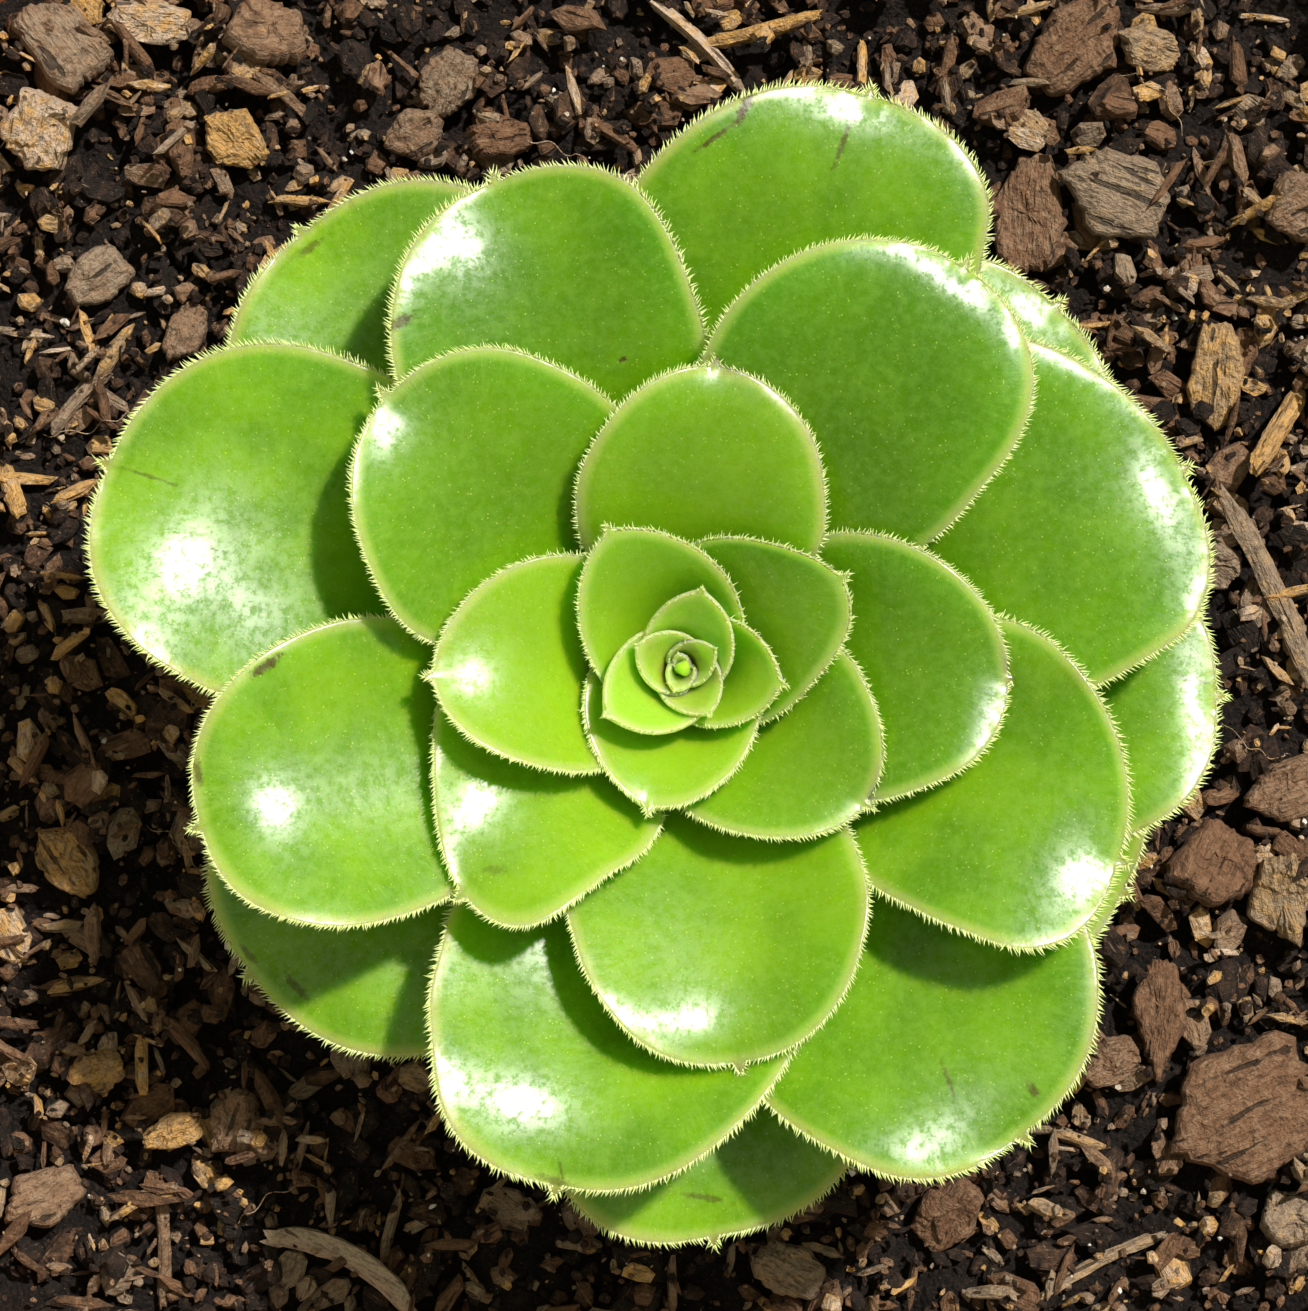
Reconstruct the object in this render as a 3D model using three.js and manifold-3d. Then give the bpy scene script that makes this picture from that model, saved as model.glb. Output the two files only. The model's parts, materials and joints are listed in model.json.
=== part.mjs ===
// A potted tree aeonium: one leaf rosette on a short woody stem, in bark potting mix, in a plain clay pot.
// Millimetres, +Z up, origin at the middle of the pot's underside. Seen from above, +X is right and +Y is up.
import * as THREE from "three";
import { mergeVertices } from "three/addons/utils/BufferGeometryUtils.js";
import Module from "manifold-3d";

const wasm = await Module();
wasm.setup();

// ---- Driving dimensions ----

const GAP = 0.3; // between pieces that touch on the real plant

const POT_HEIGHT = 122;
const RIM_RADIUS = 120;
const RIM_THICKNESS = 9;
const BAND_HEIGHT = 27; // the thicker band round the rim
const BODY_TOP_RADIUS = 113.5;
const BASE_RADIUS = 84;
const WALL = 8;
const FLOOR = 9;
const FOOT_WIDTH = 20; // the flat ring that the pot stands on
const FOOT_RECESS = 2.5;
const DRAIN_RADIUS = 10;
const POT_SIDES = 48;

const SOIL_LEVEL = 110;
const SOIL_RELIEF = 1.3;
const SOIL_RINGS = 9;
const CHIP_COUNT = 130;
const CHIP_LENGTHS = [6, 15];
const CHIP_THICKNESSES = [3, 5];

const STEM_RADIUS = 6;
const STEM_SUNK = 38; // length of stem below the soil's surface
const STEM_SIDES = 20;
const LEAF_PITCH = 0.8; // height that each leaf adds to the stem
const BUD_PITCH = 0.4; // the same inside the bud, which is packed closer
const APEX = SOIL_LEVEL + 33; // where the spiral of open leaves would end
const CONE_HEIGHT = 12; // the stem narrows over this height to its growing tip
const APEX_RADIUS = 1;
const SCAR_COUNT = 14; // scars of fallen leaves on the bare stem
const SCAR_HALF_WIDTH = 2.6;
const SCAR_HALF_HEIGHT = 1.3;
const SCAR_DEPTH = 0.5;

const GOLDEN_ANGLE = 137.5;

// Each leaf from the middle outwards: the direction of its blade in degrees, how far its tip reaches from
// the stem's axis, its greatest width, and how far its tip leans anticlockwise. The directions follow the
// golden angle.
const LEAVES = [
  [109, 1.7, 3.6, 0],
  [248, 2.7, 5.6, 0],
  [31, 4.1, 8.6, 0],
  [154, 5.7, 12, 0],
  [300, 5.9, 12.6, 0],
  [77, 8.7, 16.5, 0],
  [211, 9.9, 17.5, 0],
  [353, 11.2, 17.4, -0.5],
  [117.5, 16.9, 21.4, 0.3],
  [254, 15.9, 25, 0.6],
  [37, 20, 25.2, -2.6],
  [178.8, 26.5, 25, 1.4],
  [324, 24.7, 26.4, -0.2],
  [84, 32.3, 27, 0],
  [213.5, 33.4, 29, 7],
  [0.3, 35, 29, -1.2],
  [138.5, 43, 32, -0.7],
  [278, 42.8, 32, 0],
  [57.3, 52, 32.5, -2],
  [197.6, 53.5, 31, 0.5],
  [341.2, 50.8, 32, -4.5],
  [113, 56.2, 32.5, -1.8],
  [259.5, 55.3, 39.5, -3.2],
  [26.3, 58, 41, -4.6],
  [160.5, 65, 37.5, 0],
  [306, 60.5, 40, 0],
  [75.5, 64.5, 38.5, -3.9],
  [217, 57.5, 39.5, -1.6],
  [357, 58, 35, 0],
  [132.3, 63.2, 40.5, -1.2],
  [275, 61.5, 41, -2],
  [45, 57.5, 35, -1],
  [184, 48, 34, 0],
  [333, 55.2, 33, 0],
].map(([azimuth, reach, width, lean], order) => ({ order, azimuth, reach, width, lean }));
const BUD_LEAVES = 7; // the innermost leaves, which are one bud

// ---- Small helpers ----

const radians = THREE.MathUtils.degToRad;
const clamp = THREE.MathUtils.clamp;
const lerp = THREE.MathUtils.lerp;
const smoothstep = THREE.MathUtils.smoothstep;

// A number from 0 to 1 that is always the same for the same two keys.
function draw(key, salt) {
  const s = Math.sin(key * 12.9898 + salt * 78.233) * 43758.5453;
  return s - Math.floor(s);
}

// The value at x of a line through [x, value] points.
function along(points, x) {
  const after = points.findIndex(([px]) => px >= x);
  if (after <= 0) return after === 0 ? points[0][1] : points.at(-1)[1];
  const [x0, y0] = points[after - 1];
  const [x1, y1] = points[after];
  return lerp(y0, y1, (x - x0) / (x1 - x0));
}

function solidOf(geometry) {
  const bare = geometry.clone();
  bare.deleteAttribute("normal");
  bare.deleteAttribute("uv");
  const merged = mergeVertices(bare, 1e-4);
  return new wasm.Manifold(
    new wasm.Mesh({
      numProp: 3,
      vertProperties: merged.attributes.position.array,
      triVerts: new Uint32Array(merged.index.array),
    }),
  );
}

function geometryOf(solid) {
  const mesh = solid.getMesh();
  const geometry = new THREE.BufferGeometry();
  geometry.setAttribute("position", new THREE.BufferAttribute(mesh.vertProperties, mesh.numProp));
  geometry.setIndex(new THREE.BufferAttribute(mesh.triVerts, 1));
  geometry.computeVertexNormals();
  return geometry;
}

// A closed solid of revolution about Z from [radius, height] points, which run so that its faces point out.
function turned(profile, sides) {
  const points = profile.map(([radius, height]) => new THREE.Vector2(radius, height));
  return new THREE.LatheGeometry(points, sides).rotateX(Math.PI / 2);
}

// A closed blade from two grids of points, its upper and its lower face, split into triangles alike.
function blade(upper, lower) {
  const rows = upper.length;
  const columns = upper[0].length;
  const positions = [...upper, ...lower].flat().flatMap((p) => p.toArray());
  const at = (face, row, column) => (face * rows + row) * columns + column;
  const faces = [];
  for (let row = 0; row < rows - 1; row++)
    for (let column = 0; column < columns - 1; column++) {
      const corners = (face) => [
        at(face, row, column),
        at(face, row + 1, column),
        at(face, row + 1, column + 1),
        at(face, row, column + 1),
      ];
      const [a, b, c, d] = corners(0);
      const [e, f, g, h] = corners(1);
      faces.push([a, b, c], [a, c, d], [e, g, f], [e, h, g]);
    }
  const band = (a, b, c, d) => faces.push([a, b, c], [a, c, d]);
  for (let row = 0; row < rows - 1; row++) {
    band(at(0, row, 0), at(1, row, 0), at(1, row + 1, 0), at(0, row + 1, 0));
    const last = columns - 1;
    band(at(0, row + 1, last), at(1, row + 1, last), at(1, row, last), at(0, row, last));
  }
  for (let column = 0; column < columns - 1; column++) {
    band(at(0, 0, column + 1), at(1, 0, column + 1), at(1, 0, column), at(0, 0, column));
    const end = rows - 1;
    band(at(0, end, column), at(1, end, column), at(1, end, column + 1), at(0, end, column + 1));
  }
  const geometry = new THREE.BufferGeometry();
  geometry.setAttribute("position", new THREE.Float32BufferAttribute(positions, 3));
  geometry.setIndex(faces.flat());
  geometry.computeVertexNormals();
  return geometry;
}

// ---- Stem ----

const STEM_TOP = APEX - LEAF_PITCH * (BUD_LEAVES - 0.5);

// The stem's radius where it carries leaves: full below, narrowing to the growing tip.
function stemRadius(height) {
  return lerp(STEM_RADIUS, APEX_RADIUS, clamp((height - (APEX - CONE_HEIGHT)) / CONE_HEIGHT, 0, 1));
}

// How far the stem's surface swells at a scar of a fallen leaf. The scars go on with the leaves' spiral.
function scarRelief(angle, height) {
  const lowest = LEAVES.at(-1);
  let relief = 0;
  for (let scar = LEAVES.length; scar < LEAVES.length + SCAR_COUNT; scar++) {
    const scarAngle = radians(lowest.azimuth + GOLDEN_ANGLE * (scar - lowest.order));
    const side = Math.atan2(Math.sin(angle - scarAngle), Math.cos(angle - scarAngle)) * STEM_RADIUS;
    const up = height - (APEX - LEAF_PITCH * scar);
    relief = Math.max(relief, 1 - (side / SCAR_HALF_WIDTH) ** 2 - (up / SCAR_HALF_HEIGHT) ** 2);
  }
  return SCAR_DEPTH * relief;
}

function stem() {
  const bottom = SOIL_LEVEL - STEM_SUNK;
  const bareTop = APEX - LEAF_PITCH * LEAVES.length;
  const bevel = 0.3 * STEM_RADIUS;
  const ringStep = 1.1; // fine enough for the scars
  const profile = [[0, bottom], [STEM_RADIUS - bevel, bottom], [STEM_RADIUS, bottom + bevel]];
  for (let height = SOIL_LEVEL; height < bareTop; height += ringStep) profile.push([STEM_RADIUS, height]);
  profile.push([STEM_RADIUS, APEX - CONE_HEIGHT], [stemRadius(STEM_TOP), STEM_TOP], [0, STEM_TOP]);
  const geometry = turned(profile, STEM_SIDES);
  const position = geometry.attributes.position;
  for (let i = 0; i < position.count; i++) {
    const [x, y, z] = [position.getX(i), position.getY(i), position.getZ(i)];
    if (z < SOIL_LEVEL || z > bareTop) continue;
    const swell = 1 + scarRelief(Math.atan2(y, x), z) / STEM_RADIUS;
    position.setXY(i, x * swell, y * swell);
  }
  return geometry;
}

// ---- Leaves ----

const MARGIN_THICKNESS = 0.6;

// How each leaf is set, by its order from the middle: the slope of its foot and of its blade in degrees, how
// far its tip turns down, how much its sides turn up as a share of its half width, how far it curls round the
// stem's axis, how round its end is, how broad its foot is as a share of its width, and how straight its sides
// narrow to that foot.
const FOOT_SLOPE = [[0, 76], [6, 70], [7, 68.7], [8, 66], [12, 58], [18, 48], [24, 42], [33, 30]];
const BLADE_SLOPE = [[0, 62], [6, 50], [7, 46.7], [8, 42], [12, 30], [18, 20], [24, 14], [33, 4]];
const TIP_TURN = [[0, 0], [6, 3], [10, 12], [18, 22], [33, 22]];
const CUP = [[0, 0.04], [6, 0.06], [7, 0.15], [12, 0.2], [20, 0.2], [33, 0.16]];
const CURL = [[0, 1], [7, 1], [12, 0.5], [18, 0.2], [33, 0.1]];
const TIP_ROUNDNESS = [[0, 1.25], [7, 1.5], [12, 1.85], [20, 2.15], [33, 2.2]];
const FOOT_SHARE = [[0, 0.6], [7, 0.42], [12, 0.24], [18, 0.18], [33, 0.15]];
const TAPER = [[0, 0.9], [8, 1.3], [14, 1.1], [18, 1.35], [33, 1.35]];

// The height at which a leaf leaves the stem.
function footHeight(leaf) {
  const open = APEX - LEAF_PITCH * Math.max(leaf.order, BUD_LEAVES - 1);
  return open + BUD_PITCH * Math.max(0, BUD_LEAVES - 1 - leaf.order);
}

function slopeAt(leaf, share) {
  const foot = along(FOOT_SLOPE, leaf.order);
  const bladeSlope = along(BLADE_SLOPE, leaf.order) + 4 * (draw(leaf.order, 1) - 0.5);
  const turn = along(TIP_TURN, leaf.order) * smoothstep(share, 0.74, 1);
  return radians(lerp(foot, bladeSlope, smoothstep(share, 0, 0.75)) - turn);
}

// The leaf's midrib as [outwards, up, slope] at each share of its length, and that length.
function midrib(leaf, shares) {
  const steps = 60;
  const run = [[0, 0]];
  for (let i = 0; i < steps; i++) {
    const slope = slopeAt(leaf, (i + 0.5) / steps);
    const [out, up] = run.at(-1);
    run.push([out + Math.cos(slope) / steps, up + Math.sin(slope) / steps]);
  }
  const height = footHeight(leaf);
  const inBud = leaf.order < BUD_LEAVES;
  const footDepth = 0.5 * footThickness(leaf) * Math.sin(slopeAt(leaf, 0));
  const footRadius = inBud ? 0.3 * leaf.reach : stemRadius(height) + GAP + footDepth;
  const length = (leaf.reach - footRadius) / run.at(-1)[0];
  const stations = shares.map((share) => {
    const step = Math.min(Math.floor(share * steps), steps - 1);
    const rest = share * steps - step;
    const out = lerp(run[step][0], run[step + 1][0], rest) * length;
    const up = lerp(run[step][1], run[step + 1][1], rest) * length;
    return [footRadius + out, height + up, slopeAt(leaf, share)];
  });
  return { length, stations };
}

const middleThickness = (leaf) => clamp(0.065 * leaf.width, 0.65, 2.2);
const footThickness = (leaf) => clamp(0.062 * leaf.width, 0.65, 2);
const pointLength = (leaf) => clamp(0.04 * leaf.width + 0.25, 0.3, 1.5);

// How long the round end of the blade is, for a leaf of that length.
function roundLength(leaf, length) {
  return Math.min(0.5 * leaf.width, 0.6 * (length - pointLength(leaf)));
}

// Half the leaf's width at a distance from its tip: a small point, a round end and a long taper to the foot.
function halfWidth(leaf, length, fromTip) {
  const half = leaf.width / 2;
  const point = pointLength(leaf);
  const pointHalf = 0.5 * point;
  const round = roundLength(leaf, length);
  if (fromTip <= point) return Math.max(0.12, (pointHalf * fromTip) / point);
  if (fromTip < point + round) {
    const power = along(TIP_ROUNDNESS, leaf.order);
    const inwards = 1 - (fromTip - point) / round;
    return pointHalf + (half - pointHalf) * (1 - inwards ** power) ** (1 / power);
  }
  const fromFoot = (length - fromTip) / (length - point - round);
  const filled = Math.sin((fromFoot * Math.PI) / 2) ** along(TAPER, leaf.order);
  return half * lerp(along(FOOT_SHARE, leaf.order), 1, filled);
}

// Shares of the length, from foot to tip, that follow the round end closely.
function stationShares(leaf, length, taperSteps, roundSteps) {
  const point = pointLength(leaf) / length;
  const round = roundLength(leaf, length) / length;
  const shares = [];
  for (let i = 0; i < taperSteps; i++) shares.push((1 - point - round) * (i / taperSteps));
  for (let i = 0; i <= roundSteps; i++)
    shares.push(1 - point - round * (1 - Math.sin((i / roundSteps) * (Math.PI / 2))));
  return [...shares, 1];
}

function leafGeometry(leaf, taperSteps = 5, roundSteps = 5, across = [-1, -0.6, 0, 0.6, 1]) {
  const { length } = midrib(leaf, [0]);
  const shares = stationShares(leaf, length, taperSteps, roundSteps);
  const { stations } = midrib(leaf, shares);
  const angle = radians(leaf.azimuth);
  const cup = along(CUP, leaf.order);
  const curl = along(CURL, leaf.order);
  const roll = Math.sin(radians(5 * (draw(leaf.order, 2) - 0.5)));
  const upper = [];
  const lower = [];
  stations.forEach(([out, up, slope], row) => {
    const share = shares[row];
    const half = halfWidth(leaf, length, (1 - share) * length);
    const body = lerp(footThickness(leaf), middleThickness(leaf), smoothstep(share, 0, 0.5));
    const thick = body * lerp(1, 0.75, share);
    const lean = leaf.lean * smoothstep(share, 0.6, 1);
    upper.push([]);
    lower.push([]);
    for (const q of across) {
      const side = q * half;
      const turn = (curl * side) / out; // round the stem's axis
      const facing = angle + turn + lean / out;
      const inwards = (out / curl) * (1 - Math.cos(turn));
      const sideways = (out / curl) * Math.sin(turn) + lean;
      const rise = cup * half * q * q * (1 - 0.25 * q ** 4) * smoothstep(share, 0, 0.5) + side * roll * share;
      const depth = Math.max(MARGIN_THICKNESS, lerp(MARGIN_THICKNESS, thick, 1 - q * q));
      const place = new THREE.Vector3(
        Math.cos(angle) * (out - inwards) - Math.sin(angle) * sideways,
        Math.sin(angle) * (out - inwards) + Math.cos(angle) * sideways,
        up,
      );
      const normal = new THREE.Vector3(
        -Math.sin(slope) * Math.cos(facing),
        -Math.sin(slope) * Math.sin(facing),
        Math.cos(slope),
      );
      upper.at(-1).push(place.clone().addScaledVector(normal, rise + 0.5 * thick));
      lower.at(-1).push(place.clone().addScaledVector(normal, rise + 0.5 * thick - depth));
    }
  });
  return blade(upper, lower);
}

// The innermost leaves stand out of the stem's growing tip.
function bud() {
  const bottom = STEM_TOP + GAP;
  const top = footHeight(LEAVES[0]) + 1;
  const profile = [[0, bottom], [stemRadius(bottom), bottom], [stemRadius(top), top], [0, top]];
  const core = turned(profile, STEM_SIDES / 2);
  const joined = LEAVES.slice(0, BUD_LEAVES)
    .map((leaf) => solidOf(leafGeometry(leaf, 3, 3, [-1, -0.5, 0, 0.5, 1])))
    .reduce((whole, leaf) => whole.add(leaf), solidOf(core));
  // The outer skin alone, without the small closed hollows between the leaves' feet.
  return joined.decompose().sort((one, other) => other.volume() - one.volume())[0];
}

// ---- Potting mix ----

function soilHeight(x, y) {
  return (
    SOIL_RELIEF *
    (0.5 * Math.sin(0.11 * x + 1.3) * Math.cos(0.13 * y) +
      0.35 * Math.sin(0.31 * x - 0.23 * y) +
      0.25 * Math.cos(0.47 * y + 0.29 * x))
  );
}

function potInside(height) {
  return lerp(BASE_RADIUS - WALL, RIM_RADIUS - RIM_THICKNESS, (height - FLOOR) / (POT_HEIGHT - FLOOR));
}

// One angular piece of bark, half sunk in the mix: a slab with its corners moved a little.
function chip(number, length) {
  const width = length * lerp(0.45, 0.8, draw(number, 4));
  const thick = lerp(...CHIP_THICKNESSES, draw(number, 5));
  const box = new THREE.BoxGeometry(length, width, thick).deleteAttribute("normal").deleteAttribute("uv");
  const slab = mergeVertices(box);
  const position = slab.attributes.position;
  for (let i = 0; i < position.count; i++) {
    position.setX(i, position.getX(i) * lerp(0.7, 1.1, draw(number * 8 + i, 6)));
    position.setY(i, position.getY(i) * lerp(0.6, 1.1, draw(number * 8 + i, 7)));
  }
  slab.rotateX(0.5 * (draw(number, 8) - 0.5)).rotateY(0.5 * (draw(number, 9) - 0.5));
  slab.rotateZ(2 * Math.PI * draw(number, 10));
  return slab;
}

function chips() {
  const placed = [];
  for (let number = 0; number < CHIP_COUNT; number++) {
    const length = lerp(...CHIP_LENGTHS, draw(number, 3) ** 2);
    const spread = potInside(SOIL_LEVEL) * Math.sqrt((number + 0.5) / CHIP_COUNT);
    const radius = Math.min(spread, potInside(SOIL_LEVEL) - 0.75 * length - 2);
    const angle = radians(GOLDEN_ANGLE * number);
    if (radius < STEM_RADIUS + 10) continue;
    const [x, y] = [radius * Math.cos(angle), radius * Math.sin(angle)];
    placed.push(chip(number, length).translate(x, y, SOIL_LEVEL + soilHeight(x, y) + 0.3));
  }
  return placed;
}

function soil() {
  const bottom = FLOOR + GAP;
  const edge = (height) => potInside(height) - GAP * 1.2;
  const profile = [[0, bottom], [edge(bottom), bottom], [edge(SOIL_LEVEL - 2), SOIL_LEVEL - 2]];
  for (let ring = SOIL_RINGS - 1; ring >= 0; ring--)
    profile.push([(edge(SOIL_LEVEL) * ring) / SOIL_RINGS, SOIL_LEVEL]);
  const geometry = turned(profile, POT_SIDES);
  const position = geometry.attributes.position;
  for (let i = 0; i < position.count; i++)
    if (position.getZ(i) > SOIL_LEVEL - 1)
      position.setZ(i, SOIL_LEVEL + soilHeight(position.getX(i), position.getY(i)));
  const socket = turned(
    [
      [0, SOIL_LEVEL - STEM_SUNK - GAP],
      [STEM_RADIUS + 2 * GAP, SOIL_LEVEL - STEM_SUNK - GAP],
      [STEM_RADIUS + 3 * GAP, SOIL_LEVEL + 8],
      [0, SOIL_LEVEL + 8],
    ],
    STEM_SIDES,
  );
  const bed = chips().reduce((whole, piece) => whole.add(solidOf(piece)), solidOf(geometry));
  return bed.subtract(solidOf(socket));
}

// ---- Pot ----

function pot() {
  const bandFoot = POT_HEIGHT - BAND_HEIGHT;
  const profile = [
    [DRAIN_RADIUS, FOOT_RECESS],
    [BASE_RADIUS - FOOT_WIDTH, FOOT_RECESS],
    [BASE_RADIUS - FOOT_WIDTH + 1, 0],
    [BASE_RADIUS - 2, 0],
    [BASE_RADIUS, 2],
    [BODY_TOP_RADIUS, bandFoot],
    [RIM_RADIUS - 2.5, bandFoot],
    [RIM_RADIUS - 1.5, bandFoot + 1.5],
    [RIM_RADIUS, POT_HEIGHT - 2],
    [RIM_RADIUS - 2, POT_HEIGHT],
    [RIM_RADIUS - RIM_THICKNESS + 2, POT_HEIGHT],
    [RIM_RADIUS - RIM_THICKNESS, POT_HEIGHT - 2],
    [BASE_RADIUS - WALL, FLOOR],
    [DRAIN_RADIUS, FLOOR],
    [DRAIN_RADIUS, FOOT_RECESS],
  ];
  return turned(profile, POT_SIDES);
}

// ---- The plant in its pot ----

const leafGreen = new THREE.MeshStandardMaterial({ color: 0x79bd2f, roughness: 0.35, metalness: 0 });
const budGreen = new THREE.MeshStandardMaterial({ color: 0x9ace4a, roughness: 0.45, metalness: 0 });
const bark = new THREE.MeshStandardMaterial({ color: 0x8a7353, roughness: 0.85, metalness: 0 });
const mix = new THREE.MeshStandardMaterial({ color: 0x4a3526, roughness: 0.95, metalness: 0 });
const clay = new THREE.MeshStandardMaterial({ color: 0xb4673f, roughness: 0.85, metalness: 0 });

function piece(name, geometry, material) {
  const mesh = new THREE.Mesh(geometry, material);
  mesh.name = name;
  return mesh;
}

const plant = new THREE.Group();
plant.add(piece("pot", pot(), clay));
plant.add(piece("potting_mix", geometryOf(soil()), mix));
plant.add(piece("stem", stem(), bark));
plant.add(piece("bud", geometryOf(bud()), budGreen));
for (const leaf of LEAVES.slice(BUD_LEAVES)) {
  const name = `leaf_${String(leaf.order + 1).padStart(2, "0")}`;
  plant.add(piece(name, leafGeometry(leaf), leafGreen));
}

export default plant;
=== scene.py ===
"""A potted tree aeonium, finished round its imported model.

Shapes are worked out in millimetres and become metres when their mesh is made.
Seen from above, +X is right and +Y is up.
"""
import json
import math

import bpy
import numpy as np
from mathutils import Euler, Matrix

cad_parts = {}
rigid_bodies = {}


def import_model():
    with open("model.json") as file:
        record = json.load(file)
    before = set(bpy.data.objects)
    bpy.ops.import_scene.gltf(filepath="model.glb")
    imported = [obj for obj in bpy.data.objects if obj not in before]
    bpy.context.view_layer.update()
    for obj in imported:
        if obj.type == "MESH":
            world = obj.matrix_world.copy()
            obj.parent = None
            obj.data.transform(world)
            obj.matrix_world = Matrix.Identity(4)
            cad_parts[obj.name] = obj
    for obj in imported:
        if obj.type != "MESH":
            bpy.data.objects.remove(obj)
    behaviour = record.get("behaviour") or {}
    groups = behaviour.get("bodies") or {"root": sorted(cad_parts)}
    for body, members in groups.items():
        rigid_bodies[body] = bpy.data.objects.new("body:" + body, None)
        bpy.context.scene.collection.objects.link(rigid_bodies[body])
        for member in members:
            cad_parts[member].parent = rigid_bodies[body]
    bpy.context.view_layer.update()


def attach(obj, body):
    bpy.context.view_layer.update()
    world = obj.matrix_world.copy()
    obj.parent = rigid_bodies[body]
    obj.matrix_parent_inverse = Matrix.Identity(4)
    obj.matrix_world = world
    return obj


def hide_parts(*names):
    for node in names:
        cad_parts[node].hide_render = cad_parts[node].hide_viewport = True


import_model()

METRES = 0.001  # in a millimetre

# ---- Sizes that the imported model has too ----

POT_HEIGHT = 122
RIM_RADIUS = 120
RIM_THICKNESS = 9
BAND_HEIGHT = 27
BODY_TOP_RADIUS = 113.5
BASE_RADIUS = 84
WALL = 8
FLOOR = 9
FOOT_WIDTH = 20
FOOT_RECESS = 2.5
DRAIN_RADIUS = 10

SOIL_LEVEL = 110
SOIL_RELIEF = 1.3

STEM_RADIUS = 6
STEM_SUNK = 38
LEAF_PITCH = 0.8
BUD_PITCH = 0.4
APEX = SOIL_LEVEL + 33
CONE_HEIGHT = 12
APEX_RADIUS = 1
SCAR_COUNT = 14
SCAR_HALF_WIDTH = 2.6
SCAR_HALF_HEIGHT = 1.3
SCAR_DEPTH = 0.5
GOLDEN_ANGLE = 137.5
GAP = 0.3
BUD_LEAVES = 7
MARGIN_THICKNESS = 0.55

# Each leaf from the middle outwards: the direction of its blade in degrees, how far its tip reaches, its
# greatest width, and how far its tip leans anticlockwise.
LEAVES = [
    (109, 1.7, 3.6, 0),
    (248, 2.7, 5.6, 0),
    (31, 4.1, 8.6, 0),
    (154, 5.7, 12, 0),
    (300, 5.9, 12.6, 0),
    (77, 8.7, 16.5, 0),
    (211, 9.9, 18.5, 0),
    (353, 11.2, 19.5, -0.5),
    (117.5, 16.9, 23.6, 0.3),
    (254, 15.9, 26, 0.6),
    (37, 20, 25.2, -2.6),
    (178.8, 26.5, 25, 1.4),
    (324, 24.7, 26.4, -0.2),
    (84, 32.3, 27, 0),
    (213.5, 33.4, 29, 7),
    (0.3, 35, 29, -1.2),
    (138.5, 43, 32, -0.7),
    (278, 42.8, 32, 0),
    (57.3, 52, 32.5, -2),
    (197.6, 53.5, 31, 0.5),
    (341.2, 50.8, 32, -4.5),
    (113, 56.2, 32.5, -1.8),
    (259.5, 55.3, 39.5, -3.2),
    (26.3, 58, 41, -4.6),
    (160.5, 65, 37.5, 0),
    (306, 60.5, 40, 0),
    (75.5, 64.5, 38.5, -3.9),
    (217, 57.5, 39.5, -1.6),
    (357, 58, 35, 0),
    (132.3, 63.2, 40.5, -1.2),
    (275, 61.5, 41, -2),
    (45, 57.5, 35, -1),
    (184, 48, 34, 0),
    (333, 55.2, 33, 0),
]

# How each leaf is set, by its order from the middle, as pairs of order and value.
FOOT_SLOPE = ((0, 76), (6, 70), (7, 68.7), (8, 66), (12, 58), (18, 48), (24, 42), (33, 30))
BLADE_SLOPE = ((0, 62), (6, 50), (7, 46.7), (8, 42), (12, 30), (18, 20), (24, 14), (33, 4))
TIP_TURN = ((0, 0), (6, 3), (10, 12), (18, 22), (33, 22))
CUP = ((0, 0.04), (6, 0.06), (7, 0.15), (12, 0.2), (20, 0.2), (33, 0.16))
CURL = ((0, 1), (7, 1), (12, 0.5), (18, 0.2), (33, 0.1))
TIP_ROUNDNESS = ((0, 1.15), (6, 1.3), (7, 1.42), (12, 1.85), (20, 2.15), (33, 2.2))
FOOT_SHARE = ((0, 0.6), (7, 0.42), (12, 0.24), (18, 0.18), (33, 0.15))
TAPER = ((0, 0.9), (8, 1.3), (14, 1.1), (18, 1.35), (33, 1.35))

# Thickness at the middle and the foot: its share of the leaf's width, and the least and most that it can be.
MIDDLE_THICKNESS = (0.065, 0.65, 2.2)
FOOT_THICKNESS = (0.062, 0.65, 2.0)

# How single leaves differ from the plain form, by order: their end rolls anticlockwise and droops by these
# degrees, their rim turns down by these millimetres, and this is added to their cup.
HABITS = {
    8: (0, 0, 0.5, 0),
    9: (0, 0, 0.6, 0),
    11: (15, 15, 0, 0),
    12: (-4, 6, 0.8, 0.2),
    13: (10, 14, 0.8, -0.05),
    14: (15, 0, 0, 0),
    15: (-4, 15, 0.7, 0.12),
    16: (10, 5, 0.3, 0.05),
    17: (-5, -3, 0.3, 0.08),
    18: (0, 14, 0.9, -0.08),
    19: (10, -10, 0.2, 0.05),
    20: (-12, 6, 0, 0.03),
    21: (5, 18, 0.4, 0.12),
    22: (0, -25, 0, 0),
    23: (-5, 12, 0.7, 0),
    24: (15, 5, 0, 0),
    25: (-10, -20, 0.5, -0.05),
    26: (5, 0, 0.6, -0.05),
    28: (-15, -5, 0.5, -0.1),
    29: (5, 0, 0.2, -0.1),
    30: (-10, -10, 0, -0.05),
    31: (-5, 0, 0.2, -0.1),
}
PLAIN_HABIT = (0, 0, 0, 0)

# Painted shade on single leaves, by order, from 0 to 1: those whose blades tilt away from the light are
# painted a deeper green.
PAINTED_SHADE = {
    8: 0.5, 10: 0.8, 12: 0.7, 13: 0.5, 15: 1.0, 16: 0.7,
    18: 1.0, 20: 0.35, 21: 0.7, 23: 0.6, 25: 0.4, 26: 0.45,
}
# The painted shade of every other leaf.
PLAIN_PAINTED_SHADE = 0.1

# Low blisters on the blades, by order: share of the length, place aside, radius and height in millimetres.
BLISTERS = {16: (0.65, -4.5, 1.8, 0.28), 22: (0.6, 5.0, 1.6, 0.08), 24: (0.7, 4.0, 2.4, 0.08)}

# ---- Node trees ----


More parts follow.
